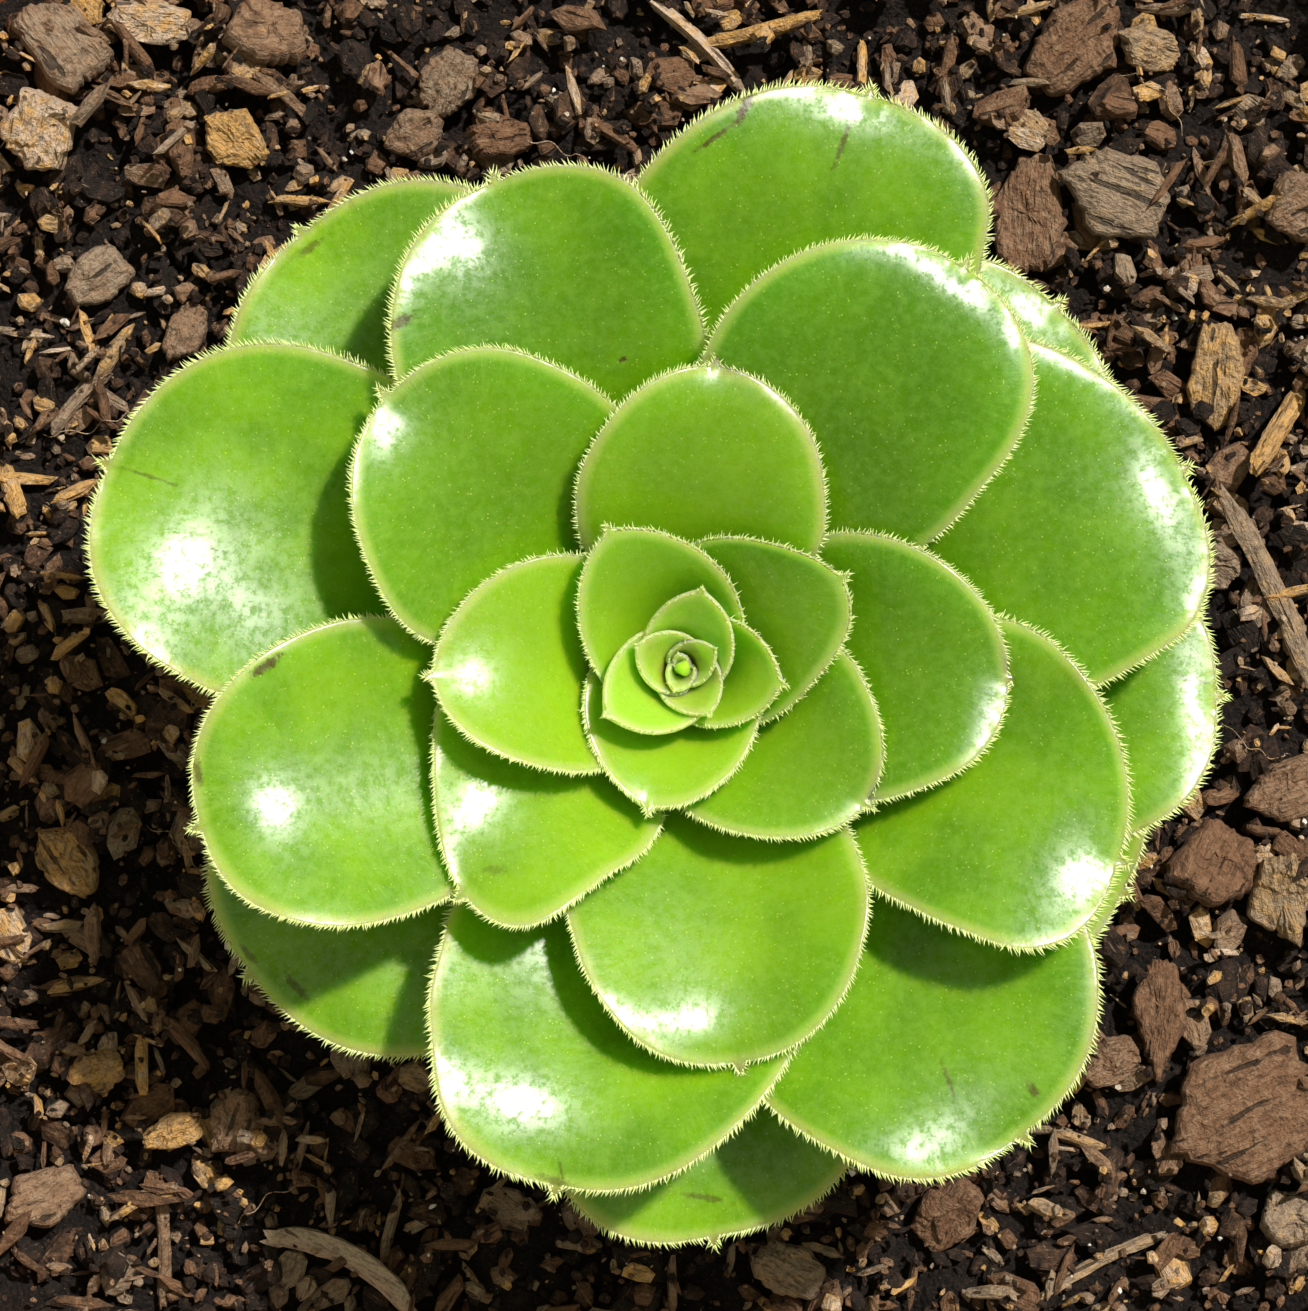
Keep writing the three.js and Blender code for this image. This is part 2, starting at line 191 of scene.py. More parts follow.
class Value:
    """An output socket. Arithmetic on it adds Math nodes to its tree."""

    def __init__(self, net, socket):
        self.net = net
        self.socket = socket

    def __add__(self, other):
        return self.net.maths("ADD", self, other)

    def __radd__(self, other):
        return self.net.maths("ADD", other, self)

    def __sub__(self, other):
        return self.net.maths("SUBTRACT", self, other)

    def __rsub__(self, other):
        return self.net.maths("SUBTRACT", other, self)

    def __mul__(self, other):
        return self.net.maths("MULTIPLY", self, other)

    def __rmul__(self, other):
        return self.net.maths("MULTIPLY", other, self)


class Net:
    """A node tree under construction, with one method that adds any node."""

    def __init__(self, tree):
        self.tree = tree

    def node(self, kind, settings=None, values=None, output=0):
        made = self.tree.nodes.new(kind)
        for name, setting in (settings or {}).items():
            setattr(made, name, setting)
        for name, value in (values or {}).items():
            self.feed(made.inputs[name], value)
        return Value(self, made.outputs[output])

    def feed(self, socket, value):
        if isinstance(value, Value):
            self.tree.links.new(value.socket, socket)
        else:
            socket.default_value = value

    def maths(self, operation, *terms):
        return self.node("ShaderNodeMath", {"operation": operation}, dict(enumerate(terms)))

    def vector_maths(self, operation, *terms, output=0):
        return self.node("ShaderNodeVectorMath", {"operation": operation}, dict(enumerate(terms)), output)

    def scaled(self, vector, factor):
        return self.node("ShaderNodeVectorMath", {"operation": "SCALE"}, {0: vector, "Scale": factor})

    def length(self, vector):
        return self.vector_maths("LENGTH", vector, output="Value")

    def parts(self, vector):
        made = self.tree.nodes.new("ShaderNodeSeparateXYZ")
        self.feed(made.inputs[0], vector)
        return [Value(self, socket) for socket in made.outputs]

    def joined(self, x, y, z):
        return self.node("ShaderNodeCombineXYZ", {}, {0: x, 1: y, 2: z})

    def attribute(self, name, output="Vector"):
        return self.node("ShaderNodeAttribute", {"attribute_name": name}, {}, output)

    def place(self):
        """The point on the piece, in millimetres."""
        return self.scaled(self.node("ShaderNodeTexCoord", {}, {}, "Object"), 1 / METRES)

    def noise(self, vector, scale, detail=2.0, roughness=0.5, distortion=0.0):
        values = {
            "Vector": vector,
            "Scale": scale,
            "Detail": detail,
            "Roughness": roughness,
            "Distortion": distortion,
        }
        return self.node("ShaderNodeTexNoise", {}, values)

    def cells(self, vector, scale):
        """The distance to the middle of the nearest cell."""
        return self.node("ShaderNodeTexVoronoi", {}, {"Vector": vector, "Scale": scale}, "Distance")

    def step(self, value, low, high):
        """0 at low and 1 at high, with a smooth rise between them."""
        values = {"Value": value, "From Min": low, "From Max": high}
        return self.node("ShaderNodeMapRange", {"interpolation_type": "SMOOTHSTEP"}, values)

    def mix(self, factor, first, second):
        """A colour between two."""
        made = self.tree.nodes.new("ShaderNodeMix")
        made.data_type = "RGBA"
        self.feed(made.inputs[0], factor)
        self.feed(made.inputs[6], first)
        self.feed(made.inputs[7], second)
        return Value(self, made.outputs[2])

    def layered(self, colour, layers):
        """A colour under tints: each lies where its pattern goes from low to high, and that strongly."""
        for pattern, low, high, strength, tint in layers:
            colour = self.mix(self.step(pattern, low, high) * strength, colour, linear(*tint))
        return colour

    def ramp(self, factor, stops):
        """A colour from (position, colour) stops."""
        made = self.tree.nodes.new("ShaderNodeValToRGB")
        band = made.color_ramp
        while len(band.elements) < len(stops):
            band.elements.new(1.0)
        for element, (position, colour) in zip(band.elements, stops):
            element.position = position
            element.color = colour
        self.feed(made.inputs[0], factor)
        return Value(self, made.outputs[0])


def linear(red, green, blue):
    """A colour from the usual 0 to 255 values, as the light it stands for."""
    shares = [part / 255 for part in (red, green, blue)]
    return tuple(s / 12.92 if s <= 0.04045 else ((s + 0.055) / 1.055) ** 2.4 for s in shares) + (1.0,)


def finish_of(name, build, **constants):
    """A material. build gives what varies over the surface, and constants are set on the shader itself."""
    material = bpy.data.materials.new(name)
    material.use_nodes = True
    tree = material.node_tree
    shader = tree.nodes["Principled BSDF"]
    for socket, value in constants.items():
        shader.inputs[socket.replace("_", " ")].default_value = value
    net = Net(tree)
    varying = build(net)
    height = varying.pop("Height", None)
    for socket, value in varying.items():
        net.feed(shader.inputs[socket], value)
    if height is not None:
        bump = net.node("ShaderNodeBump", {}, {"Height": height, "Distance": METRES})
        net.feed(shader.inputs["Normal"], bump)
    return material


# ---- Meshes ----


def piece_of(name, points, faces, material, values=None, smooth=True):
    """An object at the origin, from points in millimetres, with point attributes for its material."""
    mesh = bpy.data.meshes.new(name)
    mesh.from_pydata((np.asarray(points, float) * METRES).tolist(), [], faces)
    for key, value in (values or {}).items():
        value = np.asarray(value, np.float32)
        if value.ndim == 1:
            mesh.attributes.new(key, "FLOAT", "POINT").data.foreach_set("value", value)
        else:
            mesh.attributes.new(key, "FLOAT_VECTOR", "POINT").data.foreach_set("vector", value.ravel())
    if len(mesh.polygons):
        mesh.polygons.foreach_set("use_smooth", [smooth] * len(mesh.polygons))
    if material:
        mesh.materials.append(material)
    mesh.update()
    made = bpy.data.objects.new(name, mesh)
    bpy.context.scene.collection.objects.link(made)
    return made


def belongs(made, slot, *nodes):
    """Rides the piece on the one body, in place of the nodes that it stands for. Its slot is not used."""
    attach(made, "root")
    if nodes:
        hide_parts(*nodes)


def tube_faces(rows, ring):
    """Quads round a grid of rows, each a closed ring of points."""
    faces = []
    for row in range(rows - 1):
        for j in range(ring):
            k = (j + 1) % ring
            here = row * ring
            faces.append((here + j, here + k, here + ring + k, here + ring + j))
    return faces


def turned(profile, sides):
    """Points and faces of a closed solid of revolution, from (radius, height) running up its outside."""
    rows = [(r, z) for r, z in profile if r > 0]
    angles = np.linspace(0, 2 * math.pi, sides, endpoint=False)
    points = np.array([(r * math.cos(a), r * math.sin(a), z) for r, z in rows for a in angles])
    return points, tube_faces(len(rows), sides)


def end_faces(count, ring):
    """The two flat faces that close a tube of that many points."""
    return [tuple(reversed(range(ring))), tuple(range(count - ring, count))]


def closed_rows(rows, bottom, top):
    """Points and faces of a closed shape: rows of points round it, and a point that closes each end."""
    ring = len(rows[0])
    points = np.concatenate([*rows, [bottom], [top]])
    faces = tube_faces(len(rows), ring)
    last = (len(rows) - 1) * ring
    for j in range(ring):
        k = (j + 1) % ring
        faces.append((len(points) - 2, k, j))
        faces.append((len(points) - 1, last + j, last + k))
    return points, faces


def draw(key, salt):
    """A number from 0 to 1 that is always the same for the same two keys."""
    s = math.sin(key * 12.9898 + salt * 78.233) * 43758.5453
    return s - math.floor(s)


def along(pairs, x):
    return float(np.interp(x, [p[0] for p in pairs], [p[1] for p in pairs]))


def lerp(low, high, share):
    return low + (high - low) * share


def smooth(value, low, high):
    share = np.clip((value - low) / (high - low), 0, 1)
    return share * share * (3 - 2 * share)


def waves(x, y, cell, seed):
    """Smooth random hills from -1 to 1, about one cell apart."""
    table = np.random.default_rng(seed).uniform(-1, 1, (64, 64))
    x, y = np.asarray(x, float) / cell, np.asarray(y, float) / cell
    column, row = np.floor(x), np.floor(y)
    fx, fy = x - column, y - row
    fx, fy = fx * fx * (3 - 2 * fx), fy * fy * (3 - 2 * fy)
    column, row = column.astype(int), row.astype(int)
    corner = lambda i, j: table[(column + i) % 64, (row + j) % 64]
    near = corner(0, 0) * (1 - fx) + corner(1, 0) * fx
    far = corner(0, 1) * (1 - fx) + corner(1, 1) * fx
    return near * (1 - fy) + far * fy


# ---- Leaf shapes ----


def stem_radius(height):
    share = min(max((height - (APEX - CONE_HEIGHT)) / CONE_HEIGHT, 0), 1)
    return lerp(STEM_RADIUS, APEX_RADIUS, share)


def foot_height(order):
    outer = min(order, BUD_LEAVES - 1)
    return APEX - LEAF_PITCH * max(order, BUD_LEAVES - 1) + BUD_PITCH * (BUD_LEAVES - 1 - outer)


def thickness_of(width, limits):
    share, least, most = limits
    return min(max(share * width, least), most)


SWELL_HEIGHT = 0.2  # the broad hills of a blade
RIPPLE_HEIGHT = 0.12  # the short waves along its margin
CREASE_DEPTH = 0.22  # the fold behind its tip


class Leaf:
    """The form of one leaf: where its surfaces run, by share of its length and of its half width."""

    STEPS = 420  # along the midrib

    def __init__(self, order):
        self.order = order
        self.azimuth, self.reach, self.width, self.lean = LEAVES[order]
        self.angle = math.radians(self.azimuth)
        self.middle_thickness = thickness_of(self.width, MIDDLE_THICKNESS)
        self.foot_thickness = thickness_of(self.width, FOOT_THICKNESS)
        self.point = min(max(0.04 * self.width + 0.25, 0.3), 1.5)
        self.cup = along(CUP, order)
        self.curl = along(CURL, order)
        self.roll = math.sin(math.radians(5 * (draw(order, 2) - 0.5)))
        slopes = self.slope((np.arange(self.STEPS) + 0.5) / self.STEPS)
        self.run_out = np.concatenate([[0], np.cumsum(np.cos(slopes)) / self.STEPS])
        self.run_up = np.concatenate([[0], np.cumsum(np.sin(slopes)) / self.STEPS])
        self.foot_height = foot_height(order)
        depth = 0.5 * self.foot_thickness * math.sin(float(self.slope(np.array([0.0]))[0]))
        in_bud = order < BUD_LEAVES
        self.foot_radius = 0.3 * self.reach if in_bud else stem_radius(self.foot_height) + GAP + depth
        self.length = (self.reach - self.foot_radius) / self.run_out[-1]
        self.round = min(0.5 * self.width, 0.6 * (self.length - self.point))

    def slope(self, share):
        foot = along(FOOT_SLOPE, self.order)
        blade = along(BLADE_SLOPE, self.order) + 4 * (draw(self.order, 1) - 0.5)
        turn = along(TIP_TURN, self.order) * smooth(share, 0.74, 1)
        return np.radians(lerp(foot, blade, smooth(share, 0, 0.75)) - turn)

    def half_width(self, share):
        from_tip = (1 - share) * self.length
        half = self.width / 2
        point_half = 0.5 * self.point
        power = along(TIP_ROUNDNESS, self.order)
        inwards = np.clip(1 - (from_tip - self.point) / self.round, 0, 1)
        round_end = point_half + (half - point_half) * (1 - inwards**power) ** (1 / power)
        from_foot = np.clip((self.length - from_tip) / (self.length - self.point - self.round), 0, 1)
        filled = np.sin(from_foot * math.pi / 2) ** along(TAPER, self.order)
        taper = half * lerp(along(FOOT_SHARE, self.order), 1, filled)
        sharp = np.maximum(0.05, point_half * from_tip / self.point)
        blade = np.where(from_tip < self.point + self.round, round_end, taper)
        return np.where(from_tip <= self.point, sharp, blade)

    def shares(self, taper_rows, round_rows, point_rows):
        point = self.point / self.length
        end = self.round / self.length
        taper = (1 - point - end) * np.arange(taper_rows) / taper_rows
        turns = np.sin(np.linspace(0, math.pi / 2, round_rows + 1))
        head = 1 - point - end * (1 - turns)
        return np.concatenate([taper, head, 1 - point + point * np.arange(1, point_rows + 1) / point_rows])

    def margin_distance(self, run, side):
        """How far points of the flat leaf lie from its outline, in millimetres."""
        share = np.concatenate([np.linspace(0, 0.6, 60), np.linspace(0.6, 1, 260)[1:]])
        half = self.half_width(share)
        edge = np.stack([np.concatenate([share, share]) * self.length, np.concatenate([half, -half])])
        flat = np.stack([run.ravel(), side.ravel()])
        apart = np.hypot(flat[0][:, None] - edge[0][None], flat[1][:, None] - edge[1][None])
        return apart.min(1).reshape(run.shape)

    def surface(self, share, q):
        """Places, normals, rise and half width at grids of shares of the length and of the half width."""
        stations = np.linspace(0, 1, self.STEPS + 1)
        out = self.foot_radius + np.interp(share, stations, self.run_out) * self.length
        up = self.foot_height + np.interp(share, stations, self.run_up) * self.length
        slope = self.slope(share)
        half = self.half_width(share)
        wobble = waves(share * self.length + 0 * q, 40 + 20 * np.sign(q) + 5 * self.order, 5.5, 7)
        side = q * half * (1 + 0.02 * wobble * smooth(share, 0.3, 0.6) * np.abs(q))
        lean = self.lean * smooth(share, 0.6, 1)
        turn = self.curl * side / out
        facing = self.angle + turn + lean / out
        inwards = out / self.curl * (1 - np.cos(turn))
        sideways = out / self.curl * np.sin(turn) + lean
        x = math.cos(self.angle) * (out - inwards) - math.sin(self.angle) * sideways
        y = math.sin(self.angle) * (out - inwards) + math.cos(self.angle) * sideways
        place = np.stack([x, y, up + 0 * x], -1)
        level = np.cos(slope) + 0 * facing
        normal = np.stack([-np.sin(slope) * np.cos(facing), -np.sin(slope) * np.sin(facing), level], -1)
        rise = self.cup * half * q**2 * (1 - 0.25 * q**4) * smooth(share, 0, 0.5) + side * self.roll * share
        return place, normal, rise, half

    def thickness(self, share):
        body = lerp(self.foot_thickness, self.middle_thickness, smooth(share, 0, 0.5))
        return body * lerp(1, 0.75, share)

    def relief(self, share, q, margin):
        """Small swells of the blade that the plain solid leaves out."""
        run = share * self.length
        side = q * self.half_width(share)
        size = min(1, self.width / 30)
        blade = smooth(share, 0.3, 0.75)
        hills = waves(run + 31 * self.order, side + 17 * self.order, 9 * size + 2, 5)
        swell = SWELL_HEIGHT * size * hills * blade
        ripple = RIPPLE_HEIGHT * size * waves(run + side, side - run, 3.1, 6) * blade * np.exp(-margin / 1.6)
        from_tip = (1 - share) * self.length
        near_fold = np.exp(-((side / (0.9 * size)) ** 2) - (from_tip / (3.2 * size)) ** 2)
        crease = -CREASE_DEPTH * size * near_fold
        at, aside, spread, height = BLISTERS.get(self.order, (0, 0, 1, 0))
        apart = ((share - at) * self.length) ** 2 + (side - aside) ** 2
        blister = height * np.exp(-((apart / spread**2) ** 2))
        return swell + ripple + crease + blister + self.habit(share, side, margin)

    def habit(self, share, side, margin):
        """What this one leaf does otherwise than its neighbours."""
        roll, droop, rim, cup = HABITS.get(self.order, PLAIN_HABIT)
        half = self.width / 2
        outer = smooth(share, 0.25, 1)
        rolled = math.tan(math.radians(roll)) * side * outer**1.5
        cupped = cup * side**2 / half * outer
        drooped = -0.25 * math.tan(math.radians(droop)) * self.length * outer**3
        turned_down = -rim * np.clip(1 - margin / (0.22 * half + 1.2), 0, 1) ** 2
        return rolled + cupped + drooped + turned_down


# Marks on single leaves, each by the leaf's order: its two ends seen from above, half its breadth and its
# strength. They are scratches, scuffs and corky spots.
MARKS = {
    14: [((-20.6, -20.9), (-18.4, -20.8), 0.5, 0.35)],
    19: [((-44.2, -0.6), (-41.6, 1.3), 0.6, 1.0), ((-50.0, -9.2), (-49.6, -11.8), 0.5, 0.8)],
    21: [((-30.8, 35.0), (-28.6, 36.1), 0.7, 0.9), ((-6.5, 32.2), (-6.1, 32.4), 0.3, 1.0)],
    22: [((-14.6, -52.2), (-11.6, -53.2), 0.5, 0.6), ((-12.8, -50.6), (-12.4, -52.6), 0.2, 0.5)],
    24: [((-58.4, 20.9), (-52.7, 19.0), 0.2, 0.55), ((-52.0, 13.0), (-47.0, 12.0), 0.12, 0.5)],
    25: [((26.9, -40.9), (28.3, -44.8), 0.3, 0.55), ((35.9, -43.2), (36.8, -44.4), 0.5, 0.7)],
    26: [
        ((7.9, 61.4), (5.6, 57.0), 0.6, 1.0),
        ((5.6, 57.0), (1.4, 54.0), 0.3, 0.85),
        ((17.6, 57.6), (15.8, 52.4), 0.35, 0.7),
    ],
    27: [((-42.3, -32.6), (-40.0, -35.0), 0.5, 0.6), ((-47.0, -29.4), (-45.6, -31.2), 0.4, 0.6)],
    28: [((52.9, -1.0), (56.0, -1.6), 0.3, 0.7)],
    29: [((-41.2, 44.0), (-38.6, 45.8), 0.5, 0.6)],
    30: [((0.0, -56.0), (4.6, -57.0), 0.4, 0.6), ((15.6, -55.6), (19.0, -56.4), 0.35, 0.6)],
}
MARK_SLOTS = 3
FAR_OFF = 9.0  # where a leaf has no mark


def mark_values(order, points):
    """For each mark slot of a leaf, points in the mark's own frame, where the mark is the unit disc."""
    marks = MARKS.get(order, [])
    values = {}
    for number in range(MARK_SLOTS):
        key = f"mark_{number}"
        values[key] = np.full((len(points), 3), FAR_OFF)
        if number < len(marks):
            (x0, y0), (x1, y1), breadth, strength = marks[number]
            run = math.hypot(x1 - x0, y1 - y0)
            ux, uy = (x1 - x0) / run, (y1 - y0) / run
            dx, dy = points[:, 0] - (x0 + x1) / 2, points[:, 1] - (y0 + y1) / 2
            lengthwise = (dx * ux + dy * uy) / (run / 2 + breadth)
            crosswise = (dy * ux - dx * uy) / breadth
            values[key] = np.stack([lengthwise, crosswise, np.full(len(points), strength)], -1)
    return values


MARGIN_ROUND = 0.3  # radius of the leaf's rounded margin
POINT_ROWS = 5  # rows of a leaf's mesh in its small point


def leaf_mesh(leaf, taper_rows, round_rows, columns):
    """Points, faces and attributes of one closed leaf."""
    share = leaf.shares(taper_rows, round_rows, POINT_ROWS)[:, None]
    q = np.cos(np.linspace(0, math.pi, columns + 1))[None]
    place, normal, rise, half = leaf.surface(share, q)
    run = share * leaf.length + 0 * q
    side = q * half
    margin = leaf.margin_distance(run, side)
    margin[:, [0, -1]] = 0
    thick = leaf.thickness(share)
    depth = np.maximum(MARGIN_THICKNESS, lerp(MARGIN_THICKNESS, thick, 1 - q * q))
    middle = rise + 0.5 * thick - 0.5 * depth + leaf.relief(share, q, margin)
    fullness = np.sqrt(1 - (1 - np.minimum(margin / MARGIN_ROUND, 1)) ** 2)
    upper = place + normal * (middle + 0.5 * depth * fullness)[..., None]
    lower = place + normal * (middle - 0.5 * depth * fullness)[..., None]
    ring = np.concatenate([upper, lower[:, -2:0:-1]], 1)
    rows, around = ring.shape[:2]
    points = ring.reshape(-1, 3)
    faces = tube_faces(rows, around)
    for row, reverse in ((0, False), (rows - 1, True)):
        for j in range(columns):
            corners = [j, j + 1, (around - j - 1) % around, (around - j) % around]
            face = list(dict.fromkeys(row * around + c for c in corners))
            faces.append(tuple(reversed(face)) if reverse else tuple(face))
    both = lambda grid: np.concatenate([grid, grid[:, -2:0:-1]], 1).ravel()
    age = np.full(len(points), leaf.order / (len(LEAVES) - 1))
    radius = np.hypot(np.maximum(run - leaf.length + leaf.round, 0), side)
    around_end = np.arctan2(side, np.maximum(run - leaf.length + leaf.round, 0)) * leaf.width / 2
    below = np.minimum(run - leaf.length + leaf.round, 0)
    fan = around_end + np.sign(side) * -below
    tip = np.hypot(leaf.length - run, side)
    grid = share + 0 * q
    values = {
        "margin": both(margin),
        # The third value of state is the leaf's painted shade.
        "state": np.stack([age, both(grid), np.full(len(points), PAINTED_SHADE.get(leaf.order, PLAIN_PAINTED_SHADE))], -1),
        "fan": np.stack([both(fan), both(radius), both(tip)], -1),
    }
    values.update(mark_values(leaf.order, points))
    return points, faces, values


def facing_out(points, faces):
    """The faces, all turned over if the closed shape is inside out."""
    volume = 0.0
    for face in faces:
        for j in range(1, len(face) - 1):
            volume += np.dot(points[face[0]], np.cross(points[face[j]], points[face[j + 1]]))
    return faces if volume > 0 else [tuple(reversed(face)) for face in faces]


def gathered(parts):
    """One shape from several (points, faces, values)."""
    points, faces, values, start = [], [], {}, 0
    for some_points, some_faces, some_values in parts:
        points.append(some_points)
        faces += [tuple(start + c for c in face) for face in some_faces]
        for key, value in some_values.items():
            values.setdefault(key, []).append(value)
        start += len(some_points)
    return np.concatenate(points), faces, {key: np.concatenate(value) for key, value in values.items()}


# ---- Finishes ----


def leaf_finish(name, deep, bright, fresh, shaded, foot, margin_colour, gloss, old=True):
    def build(net):
        place = net.place()
        margin = net.attribute("margin", "Fac")
        # depth here is how much painted shade the leaf is given.
        age, share, depth = net.parts(net.attribute("state"))
        arc, radius, tip = net.parts(net.attribute("fan"))
        broad = net.noise(place, 0.11, 3.0)
        mottle = net.noise(place, 0.9, 4.0, 0.6)
        fine = net.noise(place, 3.2, 3.0, 0.6)
        streak = net.noise(net.joined(arc * 1.7, radius * 0.22, age * 90), 1.0, 3.0, 0.55)
        colour = net.mix(net.step(broad, 0.3, 0.7), bright, deep)
        colour = net.mix(net.step(age, 0.62, 0.2) * 0.8, colour, fresh)
        # Painted shade: the shaded green over leaves that tilt away from the light, which also paints their
        # pale foot less.
        colour = net.mix(depth * 0.62, colour, shaded)
        colour = net.mix(net.step(share, 0.62, 0.12) * (1 - depth * 0.5), colour, foot)
        colour = net.mix(net.step(mottle, 0.45, 0.75) * 0.22, colour, foot)
        streaks = net.step(streak, 0.5, 0.72) * net.step(margin, 7.0, 1.0)
        colour = net.mix(streaks * 0.1, colour, margin_colour)
        # Pale dots: partly the leaf's own pale wax dots, partly painted glints of the sun.
        glint = net.cells(place, 1.9)
        strewn = net.noise(place, 1.1)
        spots = net.step(glint, 0.22, 0.08) * net.step(strewn, 0.42 if old else 0.3, 0.6 if old else 0.5)
        colour = net.mix(spots * 0.65, colour, linear(214, 232, 130))
        edge = margin + (mottle - 0.5) * 0.6
        colour = net.mix(net.step(edge, 1.7, 0.4) * 0.52, colour, margin_colour)
        # Painted light: the rounded rim is lightened so that it stays pale where it faces away from the
        # light.
        colour = net.mix(net.step(margin, 0.45, 0.1) * 0.5, colour, linear(228, 242, 178))
        if old:
            worn = net.step(net.noise(place, 0.33, 4.0, 0.6), 0.62, 0.74) * net.step(margin, 2.2, 0.2)
            worn = worn * net.step(age, 0.35, 0.95)
            colour = net.mix(worn * 0.6, colour, linear(120, 84, 34))
            rosy = net.step(tip, 2.4, 0.3) * net.step(age, 0.25, 0.7)
            colour = net.mix(rosy * 0.55, colour, linear(150, 92, 62))
            for number in range(MARK_SLOTS):
                frame_place = net.attribute(f"mark_{number}")
                u, v, strength = net.parts(frame_place)
                reach = net.length(net.joined(u, v, 0.0)) + (mottle - 0.5) * 1.8 + (fine - 0.5) * 1.2
                cover = net.step(reach, 1.25, 0.35) * net.step(strength, 5.0, 2.0) * strength
                scab = net.mix(broad, linear(58, 44, 20), linear(112, 68, 34))
                colour = net.mix(cover * 0.85, colour, scab)
        rough = gloss + (mottle - 0.5) * 0.16 + (fine - 0.5) * 0.1 + spots * -0.08
        wrinkle = net.noise(net.joined(arc * 2.6, radius * 0.5, age * 90), 1.0, 4.0, 0.65)
        height = (fine - 0.5) * 0.024 + (mottle - 0.5) * 0.11 + spots * 0.012
        height = height + (wrinkle - 0.5) * 0.06 * net.step(margin, 7.0, 0.5)
        wax = net.step(mottle * 0.5 + fine * 0.3 + wrinkle * 0.2, 0.4, 0.56)
        return {"Base Color": colour, "Roughness": rough, "Coat Weight": 0.2 + wax * 0.8, "Height": height}

    return finish_of(
        name,
        build,
        Subsurface_Weight=1.0,
        Subsurface_Radius=(0.8, 1.2, 0.1),
        Subsurface_Scale=0.004,
        Subsurface_Anisotropy=0.6,
        IOR=1.4,
        Specular_IOR_Level=0.15,
        Coat_Roughness=0.3,
        Coat_IOR=1.65,
    )


leaf_skin = leaf_finish(
    "leaf_skin",
    deep=linear(114, 159, 4),
    bright=linear(143, 187, 11),
    fresh=linear(165, 207, 44),
    shaded=linear(82, 133, 1),
    foot=linear(154, 202, 16),
    margin_colour=linear(208, 232, 138),
    gloss=0.42,
)
young_skin = leaf_finish(
    "young_leaf_skin",
    deep=linear(152, 208, 50),
    bright=linear(170, 222, 70),
    fresh=linear(166, 218, 62),
    shaded=linear(138, 194, 42),
    foot=linear(168, 212, 56),
    margin_colour=linear(208, 234, 142),
    gloss=0.42,
    old=False,
)


def hair_build(net):
    shade = net.noise(net.place(), 0.8)
    return {"Base Color": net.mix(shade, linear(214, 236, 124), linear(244, 250, 188))}


leaf_hair = finish_of("leaf_hair", hair_build, Roughness=0.5, Specular_IOR_Level=0.3)

BARK_TONES = [
    (0.0, linear(30, 22, 17)),
    (0.12, linear(74, 53, 39)),
    (0.26, linear(134, 98, 69)),
    (0.38, linear(141, 103, 75)),
    (0.5, linear(166, 132, 102)),
    (0.64, linear(172, 150, 126)),
    (0.78, linear(210, 170, 120)),
    (0.88, linear(232, 178, 100)),
    (1.0, linear(228, 200, 172)),
]


def bark_build(net):
    place = net.place()
    tone = net.attribute("tone", "Fac")
    grain = net.attribute("grain")
    size = net.attribute("size")
    own = net.vector_maths("MULTIPLY", grain, size)
    own = net.vector_maths("ADD", own, net.joined(tone * 97, tone * 61, tone * 37))
    x, y, z = net.parts(own)
    fibre = net.noise(net.joined(x * 0.35, y * 2.4, z * 3.4), 1.0, 4.0, 0.62)
    lump = net.noise(place, 0.7, 4.0, 0.6)
    dust = net.noise(place, 2.6, 4.0, 0.65)
    flake = net.noise(net.joined(x * 0.8, y * 0.8, z * 3.0), 1.0, 3.0, 0.7, 0.6)
    colour = net.ramp(tone + (lump - 0.5) * 0.5, BARK_TONES)
    layers = [
        (fibre, 0.5, 0.34, 0.5, (44, 30, 21)),
        (fibre, 0.6, 0.74, 0.4, (216, 184, 144)),
        (flake, 0.5, 0.36, 0.4, (52, 36, 26)),
        (dust, 0.5, 0.8, 0.45, (34, 25, 19)),
        (dust, 0.38, 0.26, 0.45, (222, 202, 176)),
    ]
    colour = net.layered(colour, layers)
    crack = net.step(net.noise(net.joined(x * 0.1, y * 0.8, z * 0.8), 1.0, 2.0), 0.37, 0.32)
    colour = net.mix(crack * 0.75, colour, linear(24, 17, 12))
    rough = 0.76 + (dust - 0.5) * 0.4
    height = (fibre - 0.5) * 0.65 + (dust - 0.5) * 0.45 + (lump - 0.5) * 0.7 + (flake - 0.5) * 0.6
    height = height - crack * 0.5
    return {"Base Color": colour, "Roughness": rough, "Height": height}


bark_chip = finish_of("bark_chip", bark_build, IOR=1.4)


def fine_build(net):
    place = net.place()
    lump = net.noise(place, 0.35, 5.0, 0.65)
    crumb = net.cells(place, 1.3)
    pepper = net.noise(place, 2.2, 4.0, 0.7)
    # The bed's near-black is partly the fine mix's own dark colour and partly painted shade for the gaps
    # between the pieces.
    colour = net.mix(net.step(pepper, 0.44, 0.7), linear(18, 13, 10), linear(58, 42, 31))
    colour = net.mix(net.step(lump, 0.54, 0.72) * 0.5, colour, linear(70, 49, 35))
    colour = net.mix(net.step(net.noise(place, 3.4, 2.0), 0.7, 0.78), colour, linear(150, 134, 112))
    height = (lump - 0.5) * 1.8 + (pepper - 0.5) * 0.9 - crumb * 0.7
    return {"Base Color": colour, "Roughness": 0.86 + (pepper - 0.5) * 0.3, "Height": height}


fine_mix = finish_of("fine_mix", fine_build, IOR=1.38)


